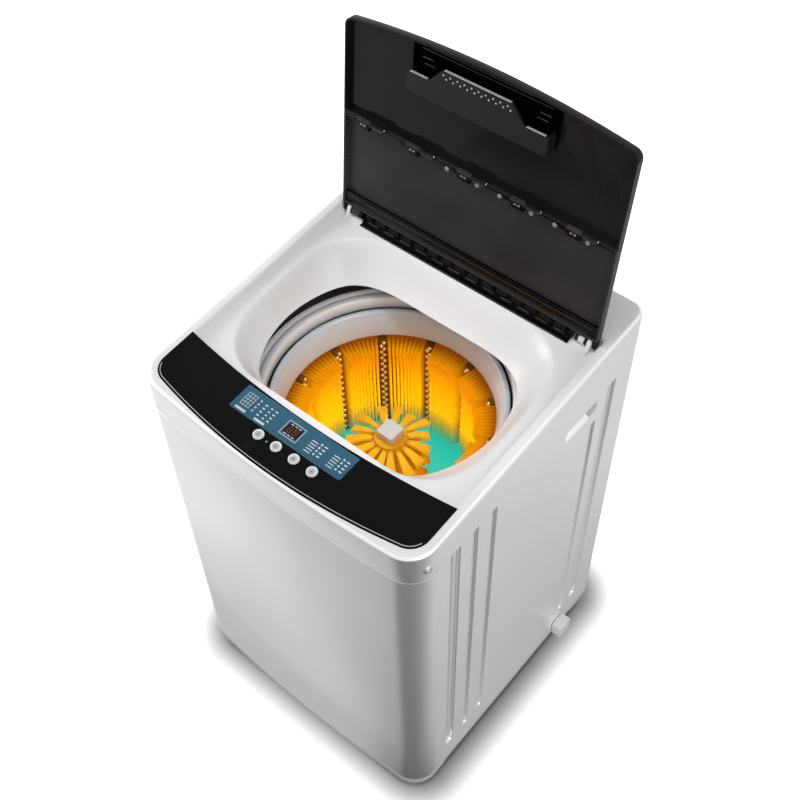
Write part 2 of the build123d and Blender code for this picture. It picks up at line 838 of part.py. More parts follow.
def spin_shaft():
    return Pos(0, drum_y, 0) * tube(spin_r, wash_r + shaft_gap, spin_low_z, drum_floor_z)


def tapered(length, wide, tip):
    """Four-sided bristle tuft that stands along X from the origin, narrowing to its tip."""
    low = (wide - tip) / 2
    high = (wide + tip) / 2
    tuft = Wedge(wide, length, wide, low, low, high, high, align=(Align.CENTER, Align.MIN, Align.CENTER))
    return Rot(0, 0, -90) * tuft


def brush():
    outer = drum_r - brush_seat
    inner = outer - brush_back
    turn = 360.0 / panel_count
    half = radians(turn / 2) - brush_gap / 2 / drum_r
    high_z = drum_top_z - 6.0
    lands = [half * (2 * k / bristle_columns - 1) for k in range(bristle_columns + 1)]
    arc = ThreePointArc((outer * cos(half), -outer * sin(half)), (outer, 0), (outer * cos(half), outer * sin(half)))
    inside = Polyline(
        (outer * cos(half), outer * sin(half)),
        *[(inner * cos(a), inner * sin(a)) for a in reversed(lands)],
        (outer * cos(half), -outer * sin(half)))
    back = prism(make_face(arc.edges() + inside.edges()), brush_low_z, high_z)
    strand = tapered(inner + bristle_root - bristle_tip_r, bristle_wide, bristle_tip)
    strand = Pos(inner + bristle_root, 0, 0) * Rot(0, 0, 180) * strand
    step = 2 * degrees(half) / bristle_columns
    rise = (high_z - brush_low_z) / bristle_rows
    strands = [
        Pos(0, 0, brush_low_z + rise * (row + 0.5)) * Rot(0, 0, step * (col - (bristle_columns - 1) / 2)) * strand
        for row in range(bristle_rows)
        for col in range(bristle_columns)
    ]
    return back.fuse(*strands)


one_brush = brush()


def brush_panel(i):
    return Pos(0, drum_y, 0) * Rot(0, 0, panel_first_angle + i * 360.0 / panel_count) * one_brush


def pulsator():
    floor_z = drum_floor_z + pulsator_lift
    rim = pulsator_r - pulsator_thick
    profile = Polyline(
        (wash_r, floor_z), (pulsator_r, floor_z), (pulsator_r, floor_z + pulsator_rim),
        (rim, floor_z + pulsator_rim), (rim - 8, floor_z + pulsator_thick),
        (post_r * 3, floor_z + pulsator_thick), (post_r, floor_z + pulsator_dome),
        (post_r, post_top_z), (wash_r, post_top_z), close=True)
    body = revolve(Plane.XZ * make_face(profile), Axis.Z)
    for i in range(pulsator_vanes):
        vane = block(post_r, rim - 12, -pulsator_vane_wide / 2, pulsator_vane_wide / 2, floor_z + pulsator_thick,
                     floor_z + pulsator_thick + pulsator_vane_high)
        vane = chamfer(vane.edges().filter_by(Axis.X).group_by(Axis.Z)[-1], 4.0)
        body += Rot(0, 0, i * 360 / pulsator_vanes) * vane
    return Pos(0, drum_y, 0) * body


def post_brush():
    inner = post_r + sleeve_gap
    outer = inner + sleeve_wall
    flats = Rot(0, 0, 180 / post_bristles) * RegularPolygon(outer, post_bristles, major_radius=False)
    sleeve = prism(flats - Circle(inner), sleeve_low_z, post_top_z - 2)
    strand = tapered(post_bristle_tip_r - outer + bristle_root, post_bristle_wide, post_bristle_tip)
    droop = degrees(atan2(post_bristle_drop, post_bristle_tip_r - outer))
    strand = Pos(outer - bristle_root, 0, 0) * Rot(0, droop, 0) * strand
    strands = []
    for level in range(post_rings):
        z = post_top_z - 12 - level * post_ring_pitch
        for k in range(post_bristles):
            strands.append(Pos(0, 0, z) * Rot(0, 0, k * 360 / post_bristles) * strand)
    return Pos(0, drum_y, 0) * sleeve.fuse(*strands)


def post_cap():
    """Four-lobed cap: a square with hollowed sides and rounded corners."""
    plan = Rectangle(2 * cap_half, 2 * cap_half)
    hollow_r = (cap_half**2 + cap_hollow**2) / (2 * cap_hollow)
    for i in range(4):
        plan -= Rot(0, 0, 90 * i) * Pos(cap_half - cap_hollow + hollow_r, 0) * Circle(hollow_r)
    plan = fillet(plan.vertices(), cap_lobe_r)
    cap = prism(plan, post_top_z, post_top_z + cap_high)
    return Pos(0, drum_y, 0) * cap


def wash_shaft():
    return Pos(0, drum_y, 0) * cyl(wash_r, wash_low_z, post_top_z)


def pulley(r, bore):
    """Belt wheel with a groove round its rim and a hub."""
    mid = pulley_high / 2
    half = belt_wide / 2 + belt_gap
    wheel = tube(r, bore, pulley_z, pulley_z + pulley_high)
    return wheel - tube(r + 1, r - pulley_groove, pulley_z + mid - half, pulley_z + mid + half)


def clutch_pulley():
    return Pos(0, drum_y, 0) * pulley(pulley_big_r, wash_r)


motor_y = drum_y + motor_span


def motor_pulley():
    wheel = pulley(pulley_small_r, motor_shaft_r)
    shaft = cyl(motor_shaft_r, pulley_z, motor_low_z + 20)
    return Pos(0, motor_y, 0) * (wheel + shaft)


def drive_belt():
    r_big = pulley_big_r - pulley_groove + belt_gap
    r_small = pulley_small_r - pulley_groove + belt_gap

    def loop(grow):
        big = r_big + grow
        small = r_small + grow
        lean = (big - small) / motor_span
        side = (1 - lean * lean) ** 0.5
        band = Polyline((big * side, big * lean), (small * side, motor_span + small * lean),
                        (-small * side, motor_span + small * lean), (-big * side, big * lean), close=True)
        return Circle(big) + Pos(0, motor_span) * Circle(small) + make_face(band)

    z0 = pulley_z + (pulley_high - belt_wide) / 2
    return Pos(0, drum_y, 0) * prism(loop(belt_thick) - loop(0), z0, z0 + belt_wide)


plate_low_z = tub_floor_z - plate_thick


def mounting_plate():
    plan = RectangleRounded(plate_wide, plate_long, 16)
    plate = prism(Pos(0, motor_span / 2) * plan, plate_low_z, tub_floor_z)
    plate -= cyl(spin_r + 4, plate_low_z - 1, tub_floor_z + 1)
    return Pos(0, drum_y, 0) * plate


def clutch_housing():
    body = cyl(clutch_r, clutch_neck_z, plate_low_z) + cyl(clutch_neck_r, clutch_low_z, clutch_neck_z)
    body -= cyl(spin_r + shaft_gap, clutch_low_z - 1, plate_low_z + 1)
    return Pos(0, drum_y, 0) * body


def motor():
    body = cyl(motor_r, motor_low_z, plate_low_z - 8)
    for i in range(motor_fins):
        body += Rot(0, 0, i * 360 / motor_fins) * block(
            motor_r - 2, motor_r + motor_fin_out, -motor_fin_wide / 2, motor_fin_wide / 2,
            motor_low_z + 20, plate_low_z - 28)
    for x in (-1, 1):
        for y in (-1, 1):
            body += Pos(x * motor_boss_at, y * motor_boss_at) * block(
                -motor_boss_half, motor_boss_half, -motor_boss_half, motor_boss_half, plate_low_z - 20, plate_low_z)
    body -= cyl(motor_shaft_r + shaft_gap, motor_low_z - 1, motor_low_z + 24)
    return Pos(0, motor_y, 0) * body


def drain_valve():
    body = cyl(valve_r, valve_low_z, tub_floor_z, valve_x, valve_y)
    spout = Pos(valve_x, valve_y, (valve_low_z + tub_floor_z) / 2) * Rot(0, 90, 0)
    body += spout * Cylinder(drain_r, valve_r + valve_spout, align=(Align.CENTER, Align.CENTER, Align.MIN))
    return body


def drain_hose():
    z = (valve_low_z + tub_floor_z) / 2
    path = Polyline(
        (valve_x + valve_r + valve_spout, valve_y, z), (hose_run_x, valve_y, z), (hose_run_x, drain_y, drain_z),
        (width / 2 - sheet - drain_collar, drain_y, drain_z))
    plane = Plane(origin=(valve_x + valve_r + valve_spout, valve_y, z), z_dir=(1, 0, 0))
    return sweep(plane * Circle(hose_r), path=path, transition=Transition.RIGHT)


def drain_spigot():
    half = width / 2
    seat = Pos(half - sheet - drain_collar, drain_y, drain_z) * Rot(0, 90, 0)
    body = seat * Cylinder(drain_r, drain_collar + sheet + drain_stand, align=(Align.CENTER, Align.CENTER, Align.MIN))
    collar = Pos(half, drain_y, drain_z) * Rot(0, 90, 0)
    body += collar * Cylinder(drain_flange_r, drain_collar, align=(Align.CENTER, Align.CENTER, Align.MIN))
    bore = Pos(half, drain_y, drain_z) * Rot(0, 90, 0)
    body -= bore * Cylinder(drain_r - drain_wall, drain_stand + 1, align=(Align.CENTER, Align.CENTER, Align.MIN))
    return body


def inlet_valve():
    y1 = depth / 2 - sheet
    plane = Plane(origin=(inlet_x, y1 - sheet, inlet_z), x_dir=(1, 0, 0), z_dir=(0, 1, 0))
    body = extrude(plane * Circle(inlet_neck_r), 2 * sheet)
    body += extrude(plane.offset(2 * sheet) * Circle(inlet_r), inlet_stand)
    body += extrude(plane * Circle(inlet_collar_r), -inlet_body / 3)
    body += extrude(plane * Rectangle(inlet_body * 0.8, inlet_body * 0.8), -inlet_body / 3)
    return body


def cord_gland():
    plane = Plane(origin=(gland_x, depth / 2 - 2 * sheet, gland_z), x_dir=(1, 0, 0), z_dir=(0, 1, 0))
    body = extrude(plane * Circle(gland_r), 2 * sheet + gland_stand)
    body += extrude(plane * Circle(gland_r + 4), -4)
    return body


pieces = {
    "cabinet_shell": cabinet_shell,
    "back_panel": back_panel,
    "base_frame": base_frame,
    "levelling_feet": levelling_feet,
    "side_handle_right": lambda: side_handle(1),
    "side_handle_left": lambda: side_handle(-1),
    "top_cover": top_cover,
    "cover_screws": cover_screws,
    "control_panel": control_panel,
    "panel_overlay": panel_overlay,
    "display_window": display_window,
    "control_board": control_board,
    "lid_rear_panel": lid_rear_panel,
    "lid_hinge_pins": lid_hinge_pins,
    "lid_front_panel": lid_front_panel,
    "lid_handle_cup": lid_handle_cup,
    "lid_fold_pins": lid_fold_pins,
    "lid_hinge_bar": lid_hinge_bar,
    "outer_tub": outer_tub,
    "tub_cover": tub_cover,
    "drum_basket": drum_basket,
    "balance_ring": balance_ring,
    "drum_flange": drum_flange,
    "spin_shaft": spin_shaft,
    "pulsator": pulsator,
    "post_brush": post_brush,
    "post_cap": post_cap,
    "wash_shaft": wash_shaft,
    "clutch_pulley": clutch_pulley,
    "motor_pulley": motor_pulley,
    "drive_belt": drive_belt,
    "mounting_plate": mounting_plate,
    "clutch_housing": clutch_housing,
    "motor": motor,
    "corner_brackets": corner_brackets,
    "suspension_rods": suspension_rods,
    "suspension_cups": suspension_cups,
    "drain_valve": drain_valve,
    "drain_hose": drain_hose,
    "drain_spigot": drain_spigot,
    "inlet_valve": inlet_valve,
    "cord_gland": cord_gland,
}
for n in range(button_count):
    pieces[f"button_{n + 1}"] = lambda n=n: button(n)
for n in range(panel_count):
    pieces[f"brush_panel_{n + 1:02d}"] = lambda n=n: brush_panel(n)

# The origin lies on the floor under the middle of the whole machine, spigots included
middle_x = drain_stand / 2
middle_y = (inlet_stand - front_bow) / 2
os.makedirs("parts", exist_ok=True)
for name, make in pieces.items():
    export_step(Pos(-middle_x, -middle_y, 0) * make(), f"parts/{name}.step")
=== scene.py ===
"""Top load washing machine with a brush drum: the looks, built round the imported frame."""

import logging
import math
import random
from contextlib import contextmanager
from dataclasses import dataclass, field
from enum import Enum
from typing import Callable, ClassVar, Iterator, Sequence

import bpy
from mathutils import Matrix, Vector


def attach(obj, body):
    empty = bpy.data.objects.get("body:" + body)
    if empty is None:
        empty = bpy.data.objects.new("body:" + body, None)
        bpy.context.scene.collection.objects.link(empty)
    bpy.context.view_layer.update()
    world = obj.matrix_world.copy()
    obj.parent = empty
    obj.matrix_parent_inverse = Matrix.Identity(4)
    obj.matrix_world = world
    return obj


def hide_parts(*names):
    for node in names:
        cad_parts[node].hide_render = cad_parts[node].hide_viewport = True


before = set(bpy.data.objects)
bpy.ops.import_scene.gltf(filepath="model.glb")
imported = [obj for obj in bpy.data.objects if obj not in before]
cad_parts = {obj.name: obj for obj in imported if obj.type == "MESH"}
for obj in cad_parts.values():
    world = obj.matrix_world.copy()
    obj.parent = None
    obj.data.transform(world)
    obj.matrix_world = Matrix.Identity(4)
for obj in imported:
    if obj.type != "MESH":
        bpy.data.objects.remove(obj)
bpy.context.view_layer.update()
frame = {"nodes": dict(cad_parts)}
log = logging.getLogger("washing_machine")

Point = tuple[float, float, float]
Plan = tuple[float, float]
Face = tuple[int, ...]
Fade = tuple[Plan, Plan]
Marks = tuple[tuple[Plan, Plan, int, Plan], ...]
Region = Callable[[float, float, float], bool]
Height = Callable[[float], float]
Piece = bpy.types.Object
Socket = bpy.types.NodeSocket
FULL_TURN = 2 * math.pi
PER_METRE = 1000.0  # millimetres
WHITE = (1.0, 1.0, 1.0, 1.0)


class Body(str, Enum):
    """The moving bodies that pieces ride on."""

    CABINET = "cabinet"
    LID_REAR = "lid_rear"
    LID_FRONT = "lid_front"
    DRUM = "drum"
    PULSATOR = "pulsator"
    BUTTON_1 = "button_1"
    BUTTON_2 = "button_2"
    BUTTON_3 = "button_3"
    BUTTON_4 = "button_4"


class Grain(Enum):
    """Surface relief of a finish: its scale and strength."""

    ORANGE_PEEL = (420.0, 0.05)
    SPARK = (1500.0, 0.12)
    POLISHED = (260.0, 0.012)
    CAST = (900.0, 0.3)
    BRUSHED = (700.0, 0.08)


@dataclass(frozen=True)
class Wiring:
    """Node tree of a material or a world, with short ways to add to it."""

    tree: bpy.types.NodeTree

    def feed(self, node: bpy.types.Node, values: dict[str | int, object]) -> None:
        """Link or set inputs of a node.

        Args:
            node: node to feed.
            values: an output to link or a constant to set, for each input's name or number.
        """
        for key, value in values.items():
            if isinstance(value, Socket):
                self.tree.links.new(value, node.inputs[key])
            else:
                node.inputs[key].default_value = value

    def add(self, kind: str, values: dict[str | int, object] | None = None,
            **settings: object) -> bpy.types.Node:
        """Add a shader node.

        Args:
            kind: type of node, without its prefix.
            values: what its inputs take.
            settings: its own options.

        Returns:
            The node.
        """
        node = self.tree.nodes.new("ShaderNode" + kind)
        for key, value in settings.items():
            setattr(node, key, value)
        self.feed(node, values or {})
        return node

    def ramp(self, source: Socket, stops: Sequence[tuple[float, Point]]) -> Socket:
        """Colours along a value.

        Args:
            source: the value.
            stops: place and colour of each stop.

        Returns:
            The colour.
        """
        node = self.add("ValToRGB", {"Fac": source})
        marks = node.color_ramp.elements
        while len(marks) < len(stops):
            marks.new(0.5)
        for mark, (at, tint) in zip(marks, stops):
            mark.position = at
            mark.color = (*tint, 1.0)
        return node.outputs["Color"]

    def math(self, operation: str, a: Socket, b: Socket | float) -> Socket:
        """One step of arithmetic on an output and an output or constant."""
        return self.add("Math", {0: a, 1: b}, operation=operation).outputs["Value"]

    def span(self, value: Socket, limits: Plan = (0.0, 1.0), levels: Plan = (0.0, 1.0),
             soft: bool = False) -> Socket:
        """Carry a value from one span to another, held within it.

        Args:
            value: the value.
            limits: span that it comes from.
            levels: span that it goes to.
            soft: whether it eases in and out.

        Returns:
            The new value.
        """
        names = ("From Min", "From Max", "To Min", "To Max")
        node = self.add("MapRange", interpolation_type="SMOOTHSTEP" if soft else "LINEAR")
        self.feed(node, {"Value": value, **dict(zip(names, (*limits, *levels)))})
        return node.outputs["Result"]


@dataclass(frozen=True)
class Finish:
    """A moulded, painted or machined surface with fine relief and slight colour drift."""

    name: str
    colour: Point
    roughness: float = 0.4
    metallic: float = 0.0
    grain: Grain = Grain.SPARK
    drift: float = 0.04
    coat: float = 0.0
    specular: float = 0.5
    # Emission in the surface's own colour: painted light on parts that are no lamp.
    painted_glow: float = 0.0
    stretch: Point = (1.0, 1.0, 1.0)
    cloud: Plan = (7.0, 4.0)
    cloud_span: Plan = (0.3, 0.7)
    grain_depth: float = 0.0004
    gloss_drift: float = 0.15
    coat_gloss: float = 0.06

    def tint(self, wire: Wiring, where: Socket) -> Socket:
        """Colour with a slow drift over the surface.

        Args:
            wire: wiring of the material.
            where: coordinate to read.

        Returns:
            The colour.
        """
        scale, detail = self.cloud
        cloud = wire.add("TexNoise", {"Vector": where, "Scale": scale, "Detail": detail})
        low = tuple(c * (1.0 - self.drift) for c in self.colour)
        high = tuple(min(1.0, c * (1.0 + self.drift)) for c in self.colour)
        return wire.ramp(cloud.outputs["Fac"], tuple(zip(self.cloud_span, (low, high))))

    def relief(self, wire: Wiring, where: Socket, shader: bpy.types.Node) -> None:
        """Fine relief and uneven gloss.

        Args:
            wire: wiring of the material.
            where: coordinate to read.
            shader: shader that takes the relief.
        """
        scale, depth = self.grain.value
        grain = wire.add("TexNoise", {"Vector": where, "Scale": scale, "Detail": 2.0}).outputs["Fac"]
        bump = wire.add("Bump", {"Height": grain, "Strength": depth, "Distance": self.grain_depth})
        levels = (self.roughness * (1.0 - self.gloss_drift), self.roughness * (1.0 + self.gloss_drift))
        wire.feed(shader, {"Normal": bump.outputs["Normal"], "Roughness": wire.span(grain, levels=levels)})

    def material(self) -> bpy.types.Material:
        """Build the finish.

        Returns:
            The material.
        """
        mat = bpy.data.materials.new(self.name)
        mat.use_nodes = True
        wire = Wiring(mat.node_tree)
        shader = mat.node_tree.nodes["Principled BSDF"]
        place = wire.add("TexCoord").outputs["Object"]
        where = wire.add("Mapping", {"Vector": place, "Scale": self.stretch}).outputs["Vector"]
        colour = self.tint(wire, where)
        wire.feed(shader, {
            "Base Color": colour, "Emission Color": colour, "Emission Strength": self.painted_glow,
            "Metallic": self.metallic,
            "Coat Weight": self.coat, "Coat Roughness": self.coat_gloss, "Specular IOR Level": self.specular})
        self.relief(wire, where, shader)
        return mat


@dataclass(frozen=True)
class BristleFinish(Finish):
    """Bristles tinted by share of the height, with painted shade darkening them towards the roots, in metres.
    """

    tints: tuple[tuple[float, Point], ...] = ()
    low_z: float = 0.43
    high_z: float = 0.65
    axis: Plan = (-0.013, -0.016)
    tip_radius: float = 0.14
    root_radius: float = 0.17
    painted_root_shade: Point = (0.5, 0.12, 0.002)

    def tint(self, wire: Wiring, where: Socket) -> Socket:
        """Colour by height, darkened towards the roots as painted shade, by distance from the drum's axis.

        Args:
            wire: wiring of the material.
            where: coordinate to read.

        Returns:
            The colour.
        """
        height = wire.add("SeparateXYZ", {"Vector": where}).outputs["Z"]
        tints = wire.ramp(wire.span(height, (self.low_z, self.high_z)), self.tints)
        from_axis = {
            "Vector": where, "Location": (-self.axis[0], -self.axis[1], 0.0), "Scale": (1.0, 1.0, 0.0)}
        flat = wire.add("Mapping", from_axis).outputs["Vector"]
        reach = wire.add("VectorMath", {0: flat}, operation="LENGTH").outputs["Value"]
        depth = wire.span(reach, (self.tip_radius, self.root_radius), soft=True)
        blend = wire.add("Mix", data_type="RGBA")
        wire.feed(blend, {"Factor": depth, "A": tints, "B": (*self.painted_root_shade, 1.0)})
        return blend.outputs["Result"]


@dataclass(frozen=True)
class PerforatedFinish(Finish):
    """Sheet steel with pressed dimples: pitch in metres, edge in shares of it, strength, depth and gloss."""

    pitch: float = 0.014
    edge: Plan = (0.2, 0.42)
    press: Plan = (0.9, 0.003)
    gloss: Plan = (0.35, 0.16)

    def relief(self, wire: Wiring, where: Socket, shader: bpy.types.Node) -> None:
        """Pressed dimples with dark centres.

        Args:
            wire: wiring of the material.
            where: coordinate to read.
            shader: shader that takes the relief.
        """
        cells = wire.add("TexVoronoi", {"Vector": where, "Scale": 1.0 / self.pitch, "Randomness": 0.0})
        hole = wire.span(cells.outputs["Distance"], self.edge)
        bump = wire.add("Bump", {"Height": hole, "Strength": self.press[0], "Distance": self.press[1]})
        wire.feed(shader, {"Normal": bump.outputs["Normal"], "Roughness": wire.span(hole, levels=self.gloss)})


@dataclass(frozen=True)
class PressedPaint(Finish):
    """Painted sheet: hollow floors in the side presses and a low boss round each cover screw, in metres.

    A press has its middle from front to rear, its half width and its top.
    """

    presses: tuple[Point, ...] = ()
    low: float = 0.1
    hollow: float = 0.8
    steep: float = 4.0
    screw: Plan = (-0.239, 0.752)
    boss: float = 0.008
    rise: float = 0.0032

    def relief(self, wire: Wiring, where: Socket, shader: bpy.types.Node) -> None:
        """Paint grain over the hollows of the presses and the bosses of the screws.

        Args:
            wire: wiring of the material.
            where: coordinate to read.
            shader: shader that takes the relief.
        """
        super().relief(wire, where, shader)
        split = wire.add("SeparateXYZ", {"Vector": where}).outputs
        y, z = split["Y"], split["Z"]
        dy, dz = wire.math("SUBTRACT", y, self.screw[0]), wire.math("SUBTRACT", z, self.screw[1])
        reach = wire.math("ADD", wire.math("MULTIPLY", dy, dy), wire.math("MULTIPLY", dz, dz))
        height = wire.math("MULTIPLY", wire.span(reach, (0.0, self.boss ** 2)), -self.rise)
        for mid, half, top in self.presses:
            t = wire.span(y, (mid - half, mid + half))
            dip = wire.math("SUBTRACT", wire.math("POWER", t, self.steep), t)
            held = wire.math("MULTIPLY", wire.math("LESS_THAN", z, top),
                             wire.math("GREATER_THAN", z, self.low))
            deep = wire.math("MULTIPLY", wire.math("MULTIPLY", dip, held), self.hollow * half)
            height = wire.math("ADD", height, deep)
        form = wire.add("Bump", {"Height": height, "Distance": 1.0})
        wire.feed(shader.inputs["Normal"].links[0].from_node, {"Normal": form.outputs["Normal"]})


class Palette:
    """Every finish on the machine, built once."""

    FINISHES: ClassVar[tuple[Finish, ...]] = (
        PressedPaint("cabinet_paint", (0.9, 0.9, 0.905), 0.3, metallic=0.7, grain=Grain.ORANGE_PEEL,
                     drift=0.012,
                     presses=((-0.185, 0.011, 0.731), (-0.141, 0.0065, 0.731), (-0.099, 0.0065, 0.731),
                              (0.188, 0.011, 0.731), (0.149, 0.0065, 0.672))),
        Finish("cover_white", (0.82, 0.82, 0.825), 0.3, grain=Grain.POLISHED, drift=0.01),
        Finish("base_grey", (0.6, 0.6, 0.61), 0.5),
        Finish("foot_rubber", (0.02, 0.02, 0.021), 0.75, grain=Grain.CAST),
        Finish("handle_white", (0.8, 0.8, 0.81), 0.42),
        # Grip lips: their emission is painted light that makes them brighter.
        Finish("grip_white", (0.93, 0.93, 0.93), 0.4, drift=0.01, painted_glow=0.22),
        Finish("screw_zinc", (0.62, 0.62, 0.62), 0.3, metallic=1.0, grain=Grain.BRUSHED),
        Finish("fascia_black", (0.004, 0.004, 0.0043), 0.22, grain=Grain.POLISHED, drift=0.1, specular=0.05),
        Finish("pinstripe_silver", (0.42, 0.42, 0.43), 0.35, metallic=0.4, grain=Grain.BRUSHED),
        Finish("print_blue", (0.028, 0.108, 0.168), 0.32, grain=Grain.POLISHED, drift=0.08, specular=0.14),
        Finish("print_white", (0.56, 0.62, 0.66), 0.5, grain=Grain.POLISHED),
        Finish("lens_red", (0.016, 0.003, 0.003), 0.12, grain=Grain.POLISHED, drift=0.1, specular=0.2),
        Finish("segment_red", (0.12, 0.012, 0.01), 0.3, grain=Grain.POLISHED),
        Finish("board_green", (0.02, 0.11, 0.04), 0.45),
        Finish("button_white", (0.8, 0.8, 0.8), 0.25, grain=Grain.POLISHED, coat=0.2),
        Finish("button_face", (0.5, 0.5, 0.51), 0.35, grain=Grain.POLISHED),
        Finish("mark_grey", (0.07, 0.07, 0.075), 0.5),
        Finish("lid_smoke", (0.011, 0.011, 0.0115), 0.14, grain=Grain.POLISHED, drift=0.25, specular=0.13),
        # Rear half of the lid: the same smoked plastic, made lighter as painted light.
        Finish("lid_smoke_rear_painted_light", (0.04, 0.041, 0.043), 0.2, grain=Grain.POLISHED, drift=0.25, specular=0.06),
        Finish("pull_gloss", (0.012, 0.012, 0.0123), 0.12, grain=Grain.POLISHED, drift=0.1, specular=0.22),
        Finish("lid_black", (0.003, 0.003, 0.0033), 0.24, drift=0.1, specular=0.12),
        # Flat black without gloss for the sheet that paints the shade in the pull's pocket.
        Finish("pocket_painted_shade", (0.0015, 0.0015, 0.0016), 0.6, drift=0.1, specular=0.0),
        # Light grey that stands for highlights: painted glints on the pull, also used for its grip dots.
        Finish("lid_glint", (0.6, 0.6, 0.6), 0.25, grain=Grain.POLISHED),
        # Dark grey for the pocket's ribs, also for the painted highlight lines and dashes on the hinge.
        Finish("lid_rib", (0.055, 0.055, 0.056), 0.35, grain=Grain.POLISHED, specular=0.3),
        Finish("clip_clear", (0.28, 0.285, 0.285), 0.3, grain=Grain.POLISHED),
        Finish("pin_white", (0.76, 0.76, 0.76), 0.35),
        Finish("tub_white", (0.82, 0.82, 0.825), 0.3, drift=0.02, coat=0.2),
        Finish("ring_grey", (0.6, 0.65, 0.7), 0.26, drift=0.015, coat=0.3),
        PerforatedFinish("drum_steel", (0.5, 0.29, 0.07), 0.3, metallic=0.6, drift=0.1),
        # Studs: their emission is painted light that brightens them.
        Finish("dimple_gold", (1.0, 0.68, 0.24), 0.16, metallic=0.7, grain=Grain.POLISHED, painted_glow=0.14),
        Finish("rib_bronze", (0.26, 0.11, 0.016), 0.3, metallic=0.5, grain=Grain.BRUSHED, drift=0.25),
        Finish("cast_alloy", (0.5, 0.5, 0.51), 0.45, metallic=0.9, grain=Grain.CAST),
        Finish("shaft_steel", (0.52, 0.52, 0.53), 0.28, metallic=1.0, grain=Grain.BRUSHED,
               stretch=(1, 1, 0.05)),
        # Bristles: teal low down; darker at the top and at the roots as painted shade; emission as painted
        # light.
        BristleFinish("bristle_orange", (0.9, 0.35, 0.004), 0.55, painted_glow=0.36, specular=0.1,
                      painted_root_shade=(0.36, 0.09, 0.001), tints=(
                          (0.0, (0.05, 0.6, 0.5)), (0.09, (0.16, 0.5, 0.3)), (0.2, (0.62, 0.5, 0.06)),
                          (0.34, (0.98, 0.68, 0.006)), (0.6, (0.96, 0.6, 0.002)), (0.82, (0.84, 0.43, 0.001)),
                          (1.0, (0.66, 0.25, 0.001)))),
        # Post bristles: darker low down and near the post as painted shade; slight emission as painted light.
        BristleFinish("bristle_yellow", (0.96, 0.6, 0.02), 0.45, painted_glow=0.06, specular=0.2,
                      low_z=0.48, high_z=0.59,
                      tip_radius=0.034, root_radius=0.02, painted_root_shade=(0.72, 0.3, 0.006), tints=(
                          (0.0, (0.68, 0.26, 0.004)), (0.6, (0.88, 0.52, 0.014)),
                          (1.0, (0.94, 0.64, 0.036)))),
        # Pulsator: its emission is painted light that brightens it in the drum.
        Finish("pulsator_teal", (0.03, 0.66, 0.62), 0.34, grain=Grain.POLISHED, drift=0.05, painted_glow=0.42),
        Finish("cap_grey", (0.62, 0.6, 0.575), 0.22, grain=Grain.POLISHED, coat=0.3),
        Finish("belt_rubber", (0.02, 0.02, 0.02), 0.7, grain=Grain.CAST),
        Finish("fitting_grey", (0.5, 0.5, 0.5), 0.45),
        Finish("fitting_white", (0.82, 0.82, 0.82), 0.4),
        Finish("motor_paint", (0.12, 0.12, 0.13), 0.5, grain=Grain.CAST),
    )

    def __init__(self) -> None:
        """Build the materials."""
        self.made = {finish.name: finish.material() for finish in self.FINISHES}

    def __getitem__(self, name: str) -> bpy.types.Material:
        """Material of a finish by its name."""
        return self.made[name]


